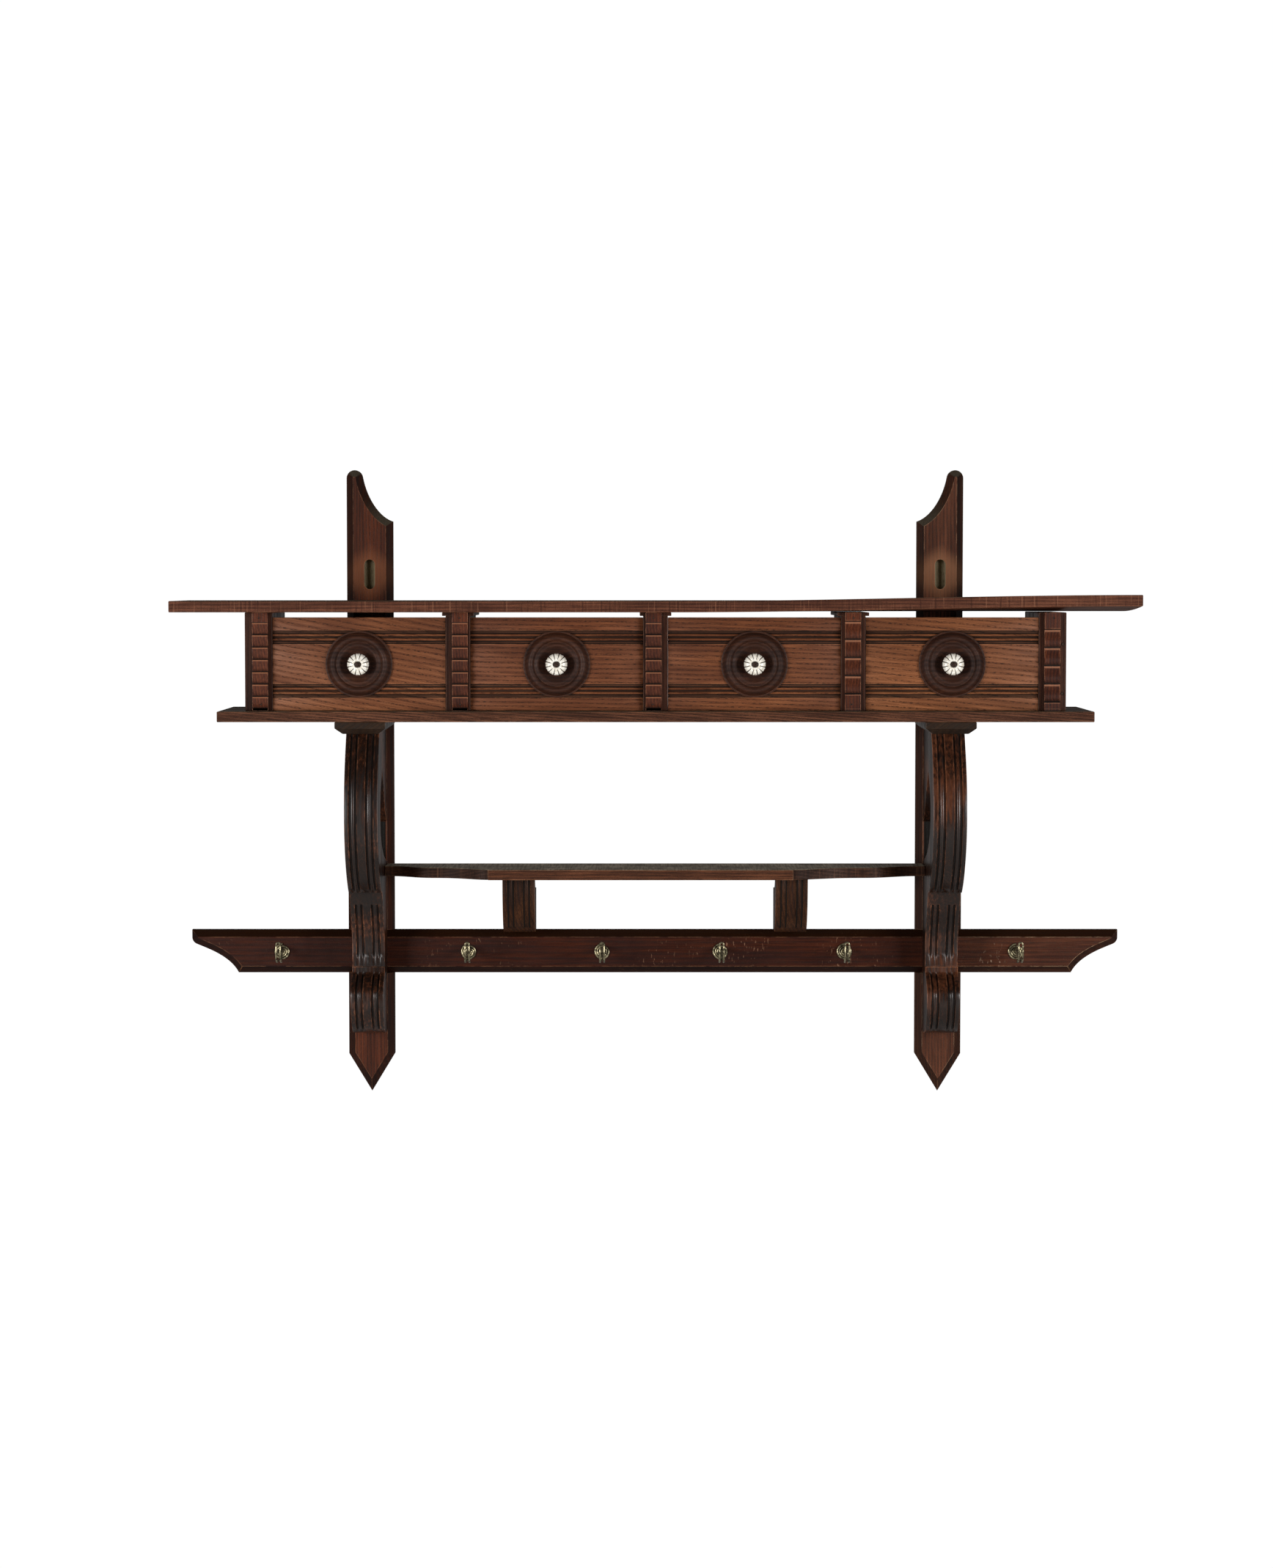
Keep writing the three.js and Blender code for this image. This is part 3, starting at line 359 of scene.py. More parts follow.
CLEAT_OVERHANG = 0.004
CLEAT_HEIGHT = 0.004
for number in (1, 2, 3):
    low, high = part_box(f"divider_{number}")
    upright_part = board("divider_board", low + Vector((CLEAT_OVERHANG, 0, 0)),
                         high - Vector((CLEAT_OVERHANG, 0, CLEAT_HEIGHT)))
    cleat = board("divider_cleat", Vector((low.x, low.y, high.z - CLEAT_HEIGHT)), high)
    partition = joined(f"partition_{number}", upright_part, cleat)
    ease(partition, 0.0007)
    fit(partition, "root", "frame", case_wood, f"divider_{number}")

# ---- Carved strips --------------------------------------------------------------------------
# Strips nailed to the front of the end panels and dividers, carved with a gouge. The left
# three are cut into short overlapping scales, and the right two into longer leaves.

strip_wood = stained(
    "Stained carving", colour(98, 55, 38), colour(44, 20, 13), colour(164, 112, 84),
    run=ALONG_Z, spacing=0.0035, swirl=24, pores=0.3, rough=0.4, gloss=0.22, worn=0.9,
    hollows=0.006, hollow_shade=0.8)[0]


def lofted(name, rings, painted_lights=None):
    """A piece skinned over closed outlines of as many points each, and capped.

    The painted lights give each point of each outline its painted light, from -1, a painted
    highlight, to 1, painted shade in black."""
    across, around = len(rings), len(rings[0])
    bpy.ops.object.select_all(action="DESELECT")
    bpy.ops.mesh.primitive_grid_add(x_subdivisions=around, y_subdivisions=across - 1, size=2)
    piece = bpy.context.object
    piece.name = name
    painted_light = piece.data.attributes.new("painted_light", "FLOAT", "POINT")
    for vertex in piece.data.vertices:
        i = round((vertex.co.x + 1) / 2 * around) % around
        j = round((vertex.co.y + 1) / 2 * (across - 1))
        vertex.co = rings[j][i]
        if painted_lights:
            painted_light.data[vertex.index].value = painted_lights[j][i]
    bpy.ops.object.mode_set(mode="EDIT")
    bpy.ops.mesh.select_all(action="SELECT")
    bpy.ops.mesh.remove_doubles(threshold=1e-6)
    bpy.ops.mesh.select_all(action="SELECT")
    bpy.ops.mesh.fill_holes(sides=0)
    bpy.ops.mesh.select_all(action="SELECT")
    bpy.ops.mesh.normals_make_consistent(inside=False)
    bpy.ops.object.mode_set(mode="OBJECT")
    return piece


def carved(name, node, top_block, pitch, relief):
    """A strip cut back by relief(t) as t goes from 0 to 1 down each carved block."""
    low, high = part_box(node)
    count = int((high.z - low.z - top_block) / pitch)
    plain = low.y + relief(0.5)
    # The third number at each point is painted light: painted shade in the creases between blocks
    # and down each scoop, and a painted highlight along each block's top edge and on the bottom
    # block
    profile = [(high.y, high.z, 0.5), (plain, high.z, 0.2)]
    profile += [(plain, high.z - 0.0008, 0), (plain, high.z - top_block + 0.0012, 0)]
    steps = (0, 0.04, 0.09, 0.16, 0.27, 0.4, 0.55, 0.68, 0.78, 0.86, 0.92, 0.96, 0.998)
    for block in range(count):
        for t in steps:
            level = high.z - top_block - pitch * (block + t)
            shade = 0.95 if t > 0.94 or t == 0 else -0.55 if t < 0.1 else max(0, (t - 0.72) * 2.4)
            profile.append((low.y + relief(t), level, shade))
    last = high.z - top_block - pitch * count
    profile += [(plain, last - 0.0002, 0.8), (plain, last - 0.0011, -0.5),
                (plain, last - 0.0020, 0),
                (plain, low.z + 0.0036, 0), (plain, low.z + 0.0032, 0.8),
                (plain, low.z + 0.0027, -0.4),
                (plain, low.z + 0.0018, 0.1), (plain, low.z, 0.9), (high.y, low.z, 0.9)]
    rings = [[(x, y, z) for y, z, shade in profile] for x in (low.x, high.x)]
    strip = lofted(name, rings, [[shade for y, z, shade in profile]] * 2)
    ease(strip, 0.0006, sharp=42)
    fit(strip, "root", "frame", strip_wood, node)


def scale_relief(t):
    return 0.0040 * t * t + 0.0010 * max(0, 1 - 9 * t)


def leaf_relief(t):
    return 0.0035 * (1 - math.sin(math.pi * t ** 1.8))


SCALE_TOP_BLOCK = 0.0115
SCALE_PITCH = 0.014
LEAF_TOP_BLOCKS = {4: 0.0103, 5: 0.0195}
LEAF_PITCH = 0.0206
for number in (1, 2, 3):
    carved(f"scale_strip_{number}", f"carved_strip_{number}", SCALE_TOP_BLOCK, SCALE_PITCH,
           scale_relief)
for number, top_block in LEAF_TOP_BLOCKS.items():
    carved(f"leaf_strip_{number}", f"carved_strip_{number}", top_block, LEAF_PITCH, leaf_relief)

# ---- Nails ----------------------------------------------------------------------------------
# Small cut nails hold the strips at their top and bottom blocks, and two larger ones show on
# the front of the right end panel. Each head stands a little proud.


def old_iron(name, rough):
    material = bpy.data.materials.new(name)
    material.use_nodes = True
    tree = material.node_tree
    shader = tree.nodes["Principled BSDF"]
    places = put(tree, "TexCoord", {})["Object"]
    rust = noise(tree, places, 900, 4)
    rust = between(tree, rust, 0.4, 0.6)
    tree.links.new(mixed(tree, rust, colour(34, 28, 25), colour(66, 48, 38)),
                   shader.inputs["Base Color"])
    tree.links.new(between(tree, rust, 0, 1, rough, rough + 0.25), shader.inputs["Roughness"])
    bump = put(tree, "Bump", {"Height": rust, "Strength": 0.3, "Distance": 0.0002})[0]
    tree.links.new(bump, shader.inputs["Normal"])
    shader.inputs["Metallic"].default_value = 0.7
    return material


iron = old_iron("Old iron", 0.42)


def nail(name, x, out, z, radius):
    """A nail head standing a little proud of a face at `out` from the wall."""
    bpy.ops.object.select_all(action="DESELECT")
    bpy.ops.mesh.primitive_cylinder_add(
        vertices=14, radius=radius, depth=0.0016, location=(x, -out - 0.0002, z),
        rotation=(math.pi / 2, 0, 0))
    bpy.ops.object.transform_apply(location=True, rotation=True, scale=True)
    head = bpy.context.object
    head.name = name
    front = min(vertex.co.y for vertex in head.data.vertices)
    choose(head, "FACE", lambda face: face.center.y < front + 0.0001)
    bpy.ops.mesh.inset(thickness=radius * 0.5, depth=-0.0003)
    bpy.ops.object.mode_set(mode="OBJECT")
    ease(head, 0.0002, sharp=50)
    head.data.materials.append(iron)
    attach(head, "root")


nail_places = []
for number in range(1, 6):
    low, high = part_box(f"carved_strip_{number}")
    middle, face = (low.x + high.x) / 2, -low.y - 0.001
    nail_places.append((middle + 0.0006 * (number - 3), face, high.z - 0.0062, 0.0010))
    nail_places.append((middle - 0.0008 * (number - 2), face - 0.0004, low.z + 0.0075, 0.0010))
low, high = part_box("end_panel_right")
nail_places += [(high.x - 0.0035, -low.y, 0.3665, 0.0019),
                (high.x - 0.0040, -low.y, 0.3105, 0.0019)]
for number, (x, out, z, radius) in enumerate(nail_places, 1):
    nail(f"nail_{number}", x, out, z, radius)

# ---- Drawers --------------------------------------------------------------------------------
# Four small drawers of a lighter, open-pored wood, each front cut from another board. A sunk
# band with two beads runs above and below its field, and the box behind is of thin bare boards.

box_wood = stained(
    "Bare drawer wood", colour(160, 126, 92), colour(104, 76, 52), colour(182, 150, 116),
    run=ALONG_Y, pores=0.3, rough=0.75, worn=0.3, hollow_shade=0.6)[0]
cross_wood = stained(
    "Bare drawer wood across", colour(156, 122, 88), colour(108, 80, 54), colour(182, 150, 116),
    run=ALONG_X, pores=0.3, rough=0.75, worn=0.3, hollow_shade=0.6)[0]

BAND_INSET = 0.015
BAND_WIDTH = 0.015
BAND_DEPTH = 0.0015
BEAD_SPACING = 0.005
BEAD_WIDTH = 0.003
BEAD_RISE = 0.0013
FRONT_SPREAD = 0.00025           # each end comes this much closer to its divider

# The board of each front: the slope of its grain, how far apart its lines are, and its tones
front_boards = ((10, 0.0064, colour(132, 84, 57), colour(86, 50, 33)),
                (1, 0.0052, colour(124, 76, 51), colour(76, 43, 28)),
                (2, 0.0052, colour(124, 76, 50), colour(76, 43, 28)),
                (5, 0.0058, colour(136, 86, 57), colour(88, 52, 33)))
for number, (slope, lines_apart, pale_tone, dark_tone) in enumerate(front_boards, 1):
    body = f"drawer_{number}"
    front_wood, shader, looks, tree = stained(
        f"Stained drawer front {number}", pale_tone, dark_tone, colour(160, 108, 74),
        run=(0, math.radians(-slope), 0), spacing=lines_apart, swirl=17, fibres=0.7, pores=0.72,
        rough=0.5, worn=0.7, hollows=0.004, hollow_shade=0.8)
    low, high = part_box(f"{body}_front")
    # Each front is lighter towards its bottom
    level = put(tree, "SeparateXYZ", {0: put(tree, "TexCoord", {})["Object"]})["Z"]
    lighter_below = between(tree, level, high.z - 0.020, low.z + 0.010)
    looks = mixed(tree, lighter_below, looks, tinted(tree, looks, (1.34, 1.40, 1.42, 1)))
    looks = tinted(tree, looks, (0.88, 0.87, 0.87, 1))
    tree.links.new(looks, shader.inputs["Base Color"])
    low.x, high.x = low.x - FRONT_SPREAD, high.x + FRONT_SPREAD
    face, floor = low.y, low.y + BAND_DEPTH
    # The third number at each point is painted light: painted shade in the band's quirks, on its
    # floor and between the beads, and a faint painted highlight on each bead's crest
    profile = [(high.y, low.z, 0), (face, low.z, 0)]
    for middle in (low.z + BAND_INSET + BAND_WIDTH / 2, high.z - BAND_INSET - BAND_WIDTH / 2):
        foot, head = middle - BAND_WIDTH / 2, middle + BAND_WIDTH / 2
        profile += [(face, foot - 0.0006, 0), (face, foot - 0.0001, 0.5), (floor, foot, 1),
                    (floor, foot + 0.0006, 0.9), (floor, foot + 0.0012, 0.5)]
        for bead in (middle - BEAD_SPACING / 2, middle + BEAD_SPACING / 2):
            for t in (0, 0.06, 0.16, 0.28, 0.4, 0.5, 0.6, 0.72, 0.84, 0.94, 1):
                rise = math.sin(math.pi * t)
                shade = 1 - 2.2 * rise if rise < 0.42 else 0.12 - 0.2 * rise
                profile.append((floor - BEAD_RISE * rise, bead + (t - 0.5) * BEAD_WIDTH, shade))
            if bead < middle:
                profile += [(floor, middle - 0.0005, 0.75), (floor, middle + 0.0005, 0.75)]
        profile += [(floor, head - 0.0012, 0.5), (floor, head - 0.0006, 0.9), (floor, head, 1),
                    (face, head + 0.0001, 0.5), (face, head + 0.0006, 0)]
    profile += [(face, high.z, 0), (high.y, high.z, 0)]
    rings = [[(x, y, z) for y, z, shade in profile] for x in (low.x, high.x)]
    front = lofted(f"{body}_face_board", rings, [[shade for y, z, shade in profile]] * 2)

    def is_arris(edge, mesh=front.data, low=low, high=high):
        first, last = (mesh.vertices[i].co for i in edge.vertices)
        ends = abs(first.x - last.x) < 1e-6
        rims = all(abs(p.y - low.y) < 1e-5 and min(abs(p.z - low.z), abs(p.z - high.z)) < 1e-5
                   for p in (first, last))
        return ends or rims

    choose(front, "EDGE", is_arris)
    bpy.ops.mesh.bevel(offset=0.0007, segments=2, affect="EDGES")
    bpy.ops.object.mode_set(mode="OBJECT")
    pick(front)
    bpy.ops.object.shade_smooth_by_angle(angle=math.radians(38))
    fit(front, body, "drawer_front", front_wood, f"{body}_front")
    box_boards = {"side_left": box_wood, "side_right": box_wood, "back": cross_wood,
                  "bottom": cross_wood}
    for part, wood in box_boards.items():
        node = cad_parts[f"{body}_{part}"]
        node.data.materials.clear()
        node.data.materials.append(wood)

# ---- Rosettes -------------------------------------------------------------------------------
# Turned in a darker wood and glued to the drawer fronts: a thin flange, a fat ring, a finer
# ring inside it, and a deep bowl in which the knob stands.

rosette_wood = stained(
    "Stained turning", colour(70, 43, 31), colour(32, 17, 12), colour(122, 78, 54),
    pores=0.35, rough=0.58, gloss=0.2, worn=0.45, hollows=0.016, hollow_shade=0.9, relief=0.15)[0]


def turned(name, profile, centre, steps):
    """A piece turned from its half profile of (radius, out) points, its axis facing forwards."""
    bpy.ops.object.select_all(action="DESELECT")
    bpy.ops.mesh.primitive_circle_add(vertices=len(profile), fill_type="NOTHING")
    piece = bpy.context.object
    piece.name = name
    for vertex, (radius, out) in zip(piece.data.vertices, profile):
        vertex.co = centre + Vector((radius, -out, 0))
    bpy.ops.object.mode_set(mode="EDIT")
    bpy.ops.mesh.select_all(action="SELECT")
    bpy.ops.mesh.spin(steps=steps, angle=2 * math.pi, center=centre, axis=(0, 1, 0))
    bpy.ops.mesh.select_all(action="SELECT")
    bpy.ops.mesh.remove_doubles(threshold=1e-5)
    bpy.ops.mesh.select_all(action="SELECT")
    bpy.ops.mesh.normals_make_consistent(inside=False)
    bpy.ops.object.mode_set(mode="OBJECT")
    return piece


def moulding(start, end, foot, crest, steps=10):
    """One rounded member of a turned profile, from one radius in to another."""
    return [(start + (end - start) * k / steps,
             foot + (crest - foot) * math.sin(math.pi * k / steps)) for k in range(steps + 1)]


def repeated(first, name, nodes, bodies, slot, material):
    """Copies of a first piece at every like node, each with a mesh of its own, all fitted."""
    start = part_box(nodes[0])[0]
    pieces = [first]
    for number, node in enumerate(nodes[1:], 2):
        other = bpy.data.objects.new(f"{name}_{number}", first.data.copy())
        other.data.transform(Matrix.Translation((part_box(node)[0].x - start.x, 0, 0)))
        bpy.context.collection.objects.link(other)
        pieces.append(other)
    for piece, node, body in zip(pieces, nodes, bodies):
        fit(piece, body, slot, material, node)


low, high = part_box("drawer_1_rosette")
centre = Vector(((low.x + high.x) / 2, high.y, (low.z + high.z) / 2))
radius = (high.x - low.x) / 2
profile = [(0, 0), (radius - 0.0004, 0), (radius, 0.0004), (radius, 0.0019),
           (radius - 0.0006, 0.0023)]
profile += moulding(radius - 0.0018, 0.0236, 0.0023, 0.0087, 18)[:-3]
profile += moulding(0.0242, 0.0192, 0.0058, 0.0069, 8)
profile += [(0.0180, 0.0052), (0.0163, 0.0042), (0.0145, 0.0033), (0.0138, 0.0027), (0, 0.0027)]
first_rosette = turned("rosette_1", profile, centre, 72)
pick(first_rosette)
bpy.ops.object.shade_smooth_by_angle(angle=math.radians(42))
drawers = [f"drawer_{number}" for number in (1, 2, 3, 4)]
repeated(first_rosette, "rosette", [f"{drawer}_rosette" for drawer in drawers], drawers,
         "rosette", rosette_wood)

# ---- Knobs ----------------------------------------------------------------------------------
# Small knobs of white glazed ware, moulded as a flower of twelve petals, with brown dirt in
# the grooves. A dark screw through the middle holds each to its drawer.

glaze = bpy.data.materials.new("White glazed ware")
glaze.use_nodes = True
tree = glaze.node_tree
shader = tree.nodes["Principled BSDF"]
places = put(tree, "TexCoord", {})["Object"]
cloud = noise(tree, places, 420, 4)
white = mixed(tree, between(tree, cloud, 0.35, 0.7), colour(244, 240, 230), colour(214, 204, 186))
groove = put(tree, "Attribute", {}, attribute_name="groove")["Fac"]
dirt = times(tree, between(tree, groove, 0.25, 0.85),
             between(tree, cloud, 0.25, 0.55, 0.75, 1.0))
tree.links.new(mixed(tree, dirt, white, colour(48, 32, 21)), shader.inputs["Base Color"])
tree.links.new(between(tree, dirt, 0, 1, 0.22, 0.7), shader.inputs["Roughness"])
shader.inputs["Coat Weight"].default_value = 0.5

low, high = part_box("drawer_1_knob")
centre = Vector(((low.x + high.x) / 2, high.y, (low.z + high.z) / 2))
radius, length = (high.z - low.z) / 2, high.y - low.y
PETALS = 12
profile = [(0, 0), (0.0050, 0), (0.0048, 0.22 * length), (0.0056, 0.30 * length),
           (0.72 * radius, 0.34 * length), (0.88 * radius, 0.42 * length),
           (0.97 * radius, 0.52 * length), (radius, 0.62 * length), (0.985 * radius, 0.72 * length),
           (0.93 * radius, 0.82 * length), (0.83 * radius, 0.90 * length),
           (0.69 * radius, 0.955 * length), (0.54 * radius, 0.985 * length),
           (0.42 * radius, 0.998 * length), (0.33 * radius, 0.998 * length),
           (0.30 * radius, 0.955 * length), (0, 0.945 * length)]
first_knob = turned("knob_1", profile, centre, PETALS * 12)
groove = first_knob.data.attributes.new("groove", "FLOAT", "POINT")
for vertex in first_knob.data.vertices:
    spoke = vertex.co - centre
    reach = math.hypot(spoke.x, spoke.z)
    petal = (math.atan2(spoke.z, spoke.x) / (2 * math.pi) * PETALS) % 1 - 0.5
    depth = math.exp(-((petal / 0.115) ** 2)) * min(max((reach / radius - 0.34) / 0.2, 0), 1)
    groove.data[vertex.index].value = depth
    if reach > 0.0062:
        narrower = 1 - 0.045 * depth - 0.03 * (2 * petal) ** 2
        vertex.co.x, vertex.co.z = centre.x + spoke.x * narrower, centre.z + spoke.z * narrower
        vertex.co.y += 0.0010 * depth * (1 if -spoke.y > 0.6 * length else 0)
pick(first_knob)
bpy.ops.object.shade_smooth_by_angle(angle=math.radians(60))
repeated(first_knob, "knob", [f"{drawer}_knob" for drawer in drawers], drawers, "knob", glaze)

low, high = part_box("drawer_1_knob_screw")
centre = Vector(((low.x + high.x) / 2, high.y, (low.z + high.z) / 2))
radius, length = (high.z - low.z) / 2, high.y - low.y
profile = [(0, 0), (radius, 0), (radius, 0.55 * length), (0.92 * radius, 0.78 * length),
           (0.7 * radius, 0.93 * length), (0.35 * radius, length), (0, length)]
first_screw = turned("knob_peg_1", profile, centre, 24)
pick(first_screw)
bpy.ops.object.shade_smooth_by_angle(angle=math.radians(42))
repeated(first_screw, "knob_peg", [f"{drawer}_knob_screw" for drawer in drawers], drawers,
         "screw", iron)

# ---- Uprights -------------------------------------------------------------------------------
# Two long battens on the wall carry everything. Each is sawn to a horn at the top and a point
# at the foot, has its front edges bevelled, and is cut for a hanging screw above the shelf.

upright_wood, shader, looks, tree = stained(
    "Stained upright", colour(92, 50, 34), colour(42, 21, 13), colour(150, 104, 76),
    run=ALONG_Z, spacing=0.004, swirl=20, pores=0.5, rough=0.46, gloss=0.14, worn=0.9)


def edged(tree, looks, bevel_shade, upper_colour):
    """Painted shade on the bevelled edges, and a given colour, broken up by noise, where a face
    turns upwards.
    """
    places = put(tree, "TexCoord", {})
    sides = put(tree, "SeparateXYZ", {0: places["Normal"]})
    shaded_bevel = between(tree, sides["Y"], -0.92, -0.78)
    looks = mixed(tree, shaded_bevel, looks, tinted(tree, looks, bevel_shade))
    patchy = noise(tree, places["Object"], 700, 3)
    upwards = times(tree, between(tree, sides["Z"], 0.25, 0.6),
                    between(tree, patchy, 0.3, 0.6, 0.55, 0.95))
    return mixed(tree, upwards, looks, upper_colour)


low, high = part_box("upright_right")
places = put(tree, "SeparateXYZ", {0: put(tree, "TexCoord", {})["Object"]})
from_middle = reckon(tree, "SUBTRACT", reckon(tree, "ABSOLUTE", places["X"]), (low.x + high.x) / 2)
from_middle = reckon(tree, "ABSOLUTE", from_middle)
slot_level = 0.446
from_slot = reckon(tree, "ABSOLUTE", reckon(tree, "SUBTRACT", places["Z"], slot_level))
handled = reckon(tree, "ADD", from_slot, times(tree, from_middle, 0.6))
handled = between(tree, handled, 0.040, 0.014, 0.0, 0.4)
looks = mixed(tree, handled, looks, colour(136, 84, 56))
# Paler and greyer towards the right
paler_to_right = between(tree, places["X"], -0.1, 0.1)
looks = mixed(tree, paler_to_right, looks, tinted(tree, looks, (1.4, 1.8, 2.1, 1)))
# Painted shade on the bevels, and grey end grain where a face turns upwards
looks = edged(tree, looks, (0.36, 0.34, 0.30, 1), colour(70, 64, 54))

# Painted shadow: the face is painted near black where a bracket covers it, so that the scroll
# opening shows dark
foot, head = (corner.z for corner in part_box("bracket_right"))
bracket_shadow = times(tree, between(tree, from_middle, 0.0185, 0.0170),
                between(tree, places["Z"], head, head - 0.010))
bracket_shadow = times(tree, bracket_shadow, between(tree, places["Z"], foot + 0.03, foot + 0.04))
shadow_black = (0.004, 0.003, 0.002, 1)
looks = mixed(tree, bracket_shadow, looks, shadow_black)
tree.links.new(looks, shader.inputs["Base Color"])
slot_wood = stained(
    "Raw wood in the slots", colour(158, 144, 118), colour(112, 100, 78), colour(176, 160, 130),
    run=ALONG_Z, fibres=0.8, pores=0.3, rough=0.8, gloss=0.05, hollow_shade=0.1)[0]


def drawn(*marks, steps=14):
    """An outline of (x, up) points: a mark is a point, or two handles and a curve's end."""
    points = [Vector(marks[0])]
    for mark in marks[1:]:
        if len(mark) == 2:
            points.append(Vector(mark))
            continue
        start = points[-1]
        first, second, end = (Vector(place) for place in mark)
        for k in range(1, steps + 1):
            t = k / steps
            points.append(start * (1 - t) ** 3 + first * 3 * t * (1 - t) ** 2
                          + second * 3 * t * t * (1 - t) + end * t ** 3)
    return points


def arc(x, up, radius, start, end, steps=10):
    """Points round part of a circle, from one angle in degrees to another."""
    angles = [math.radians(start + (end - start) * k / steps) for k in range(steps + 1)]
    return [Vector((x + radius * math.cos(a), up + radius * math.sin(a))) for a in angles]


def sawn(name, outline, back, front, bevel=0.0):
    """A board sawn to an outline, from back to front out from the wall, its front bevelled."""
    bpy.ops.object.select_all(action="DESELECT")
    bpy.ops.mesh.primitive_circle_add(vertices=len(outline), fill_type="NGON")
    piece = bpy.context.object
    piece.name = name
    for vertex, place in zip(piece.data.vertices, outline):
        vertex.co = (place.x, -back, place.y)
    bpy.ops.object.mode_set(mode="EDIT")
    bpy.ops.mesh.select_all(action="SELECT")
    bpy.ops.mesh.extrude_region_move(
        TRANSFORM_OT_translate={"value": (0, back + bevel - front, 0)})
    bpy.ops.mesh.select_all(action="SELECT")
    bpy.ops.mesh.normals_make_consistent(inside=False)
    bpy.ops.object.mode_set(mode="OBJECT")
    if bevel:
        choose(piece, "FACE", lambda face: face.center.y < -(front - bevel) + 1e-5)
        bpy.ops.mesh.inset(thickness=bevel, depth=bevel)
        bpy.ops.object.mode_set(mode="OBJECT")
    return piece


def cut_away(piece, cutter):
    """Takes one piece's shape out of another."""
    pick(piece)
    cut = piece.modifiers.new("Cut", "BOOLEAN")
    cut.object = cutter
    cut.operation = "DIFFERENCE"
    cut.solver = "EXACT"
    bpy.ops.object.modifier_apply(modifier=cut.name)
    bpy.data.objects.remove(cutter)


BEVEL = 0.008
RAIL_HALF = 0.0255
GAP = 0.0003
PAST = 0.010                     # how far a cutter runs past what it cuts
HORN_ROUND = 0.0095
HORN_HEIGHT = 0.0604             # above its shoulder
POINT_HEIGHT = 0.045
SLOT_DEPTH = 0.011
horn_tilt = math.radians(10)
slot_radius = 0.0063
for side, sign in (("left", -1), ("right", 1)):
    low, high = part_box(f"upright_{side}")
    middle, half = (low.x + high.x) / 2, (high.x - low.x) / 2
    foot, shoulder = low.z + POINT_HEIGHT, high.z - HORN_HEIGHT
    round_x = half - HORN_ROUND
    hollow = (round_x - HORN_ROUND * math.cos(horn_tilt),
              high.z - HORN_ROUND * (1 - math.sin(horn_tilt)))
    outline = drawn(
        (half, foot), (0, low.z), (-half, foot), (-half, shoulder),
        ((-0.32 * half, shoulder + 0.006), (hollow[0] - 0.004, hollow[1] - 0.022), hollow))
    outline += arc(round_x, high.z - HORN_ROUND, HORN_ROUND, 170, 0, 14)[1:]
    outline = [Vector((middle + sign * p.x, p.y)) for p in outline]
    thick = high.y - low.y
    batten = sawn(f"batten_{side}", outline, 0, thick, BEVEL)
    cut_away(batten, board("halving", Vector((low.x - PAST, -thick - PAST, -RAIL_HALF - GAP)),
                           Vector((high.x + PAST, -BEVEL + GAP, RAIL_HALF + GAP))))
    slot_foot, slot_head = slot_level - 0.0109, slot_level + 0.0115
    slot = (arc(middle, slot_head, slot_radius, 0, 180)
            + arc(middle, slot_foot, slot_radius, 180, 360))
    cut_away(batten, sawn("slot", slot, thick - SLOT_DEPTH, thick + 0.002))
    ease(batten, 0.0008)
    fit(batten, "root", "frame", upright_wood, f"upright_{side}")
    batten.data.materials.append(slot_wood)
    for face in batten.data.polygons:
        beside = abs(face.center.x - middle) < slot_radius + 0.0003
        in_length = abs(face.center.z - slot_level) < 0.018
        if beside and in_length and -thick + 0.0008 < face.center.y < -0.003:
            face.material_index = 1

# ---- Coat rail ------------------------------------------------------------------------------
# A red-brown board halved across the front of both uprights. Its edges are bevelled all round
# and each end is cut to a small round over a long hollow.

rail_wood, shader, looks, tree = stained(
    "Mahogany-stained rail", colour(66, 34, 22), colour(36, 15, 9), colour(156, 110, 80),
    spacing=0.006, fibres=0.6, pores=0.4, rough=0.42, gloss=0.14, worn=0.9)
places = put(tree, "TexCoord", {})["Object"]
scuffs = stretched(tree, places, (1, 1, 0.35))
scuffs = noise(tree, scuffs, 480, 3)
pale_share = noise(tree, places, 14, 2)
scuffs = times(tree, between(tree, scuffs, 0.63, 0.72), between(tree, pale_share, 0.5, 0.66))
looks = mixed(tree, times(tree, scuffs, 0.5), looks, colour(150, 112, 88))
along = put(tree, "SeparateXYZ", {0: places})["X"]
# Paler and greyer towards its right end
paler_to_right = between(tree, along, 0.28, 0.42)
looks = mixed(tree, paler_to_right, looks, tinted(tree, looks, (1.9, 2.6, 3.1, 1)))
# Painted shade on the bevels, and a near black painted shade where a face turns upwards, on the top
# bevel
looks = edged(tree, looks, (0.46, 0.42, 0.34, 1), colour(38, 23, 14))
tree.links.new(looks, shader.inputs["Base Color"])
leather = put(tree, "TexVoronoi", {"Vector": places, "Scale": 620}, feature="DISTANCE_TO_EDGE")[0]
skin = put(tree, "Bump", {"Height": between(tree, leather, 0.0, 0.35), "Strength": 0.22,
                          "Distance": 0.0003,
                          "Normal": shader.inputs["Normal"].links[0].from_socket})[0]
tree.links.new(skin, shader.inputs["Normal"])

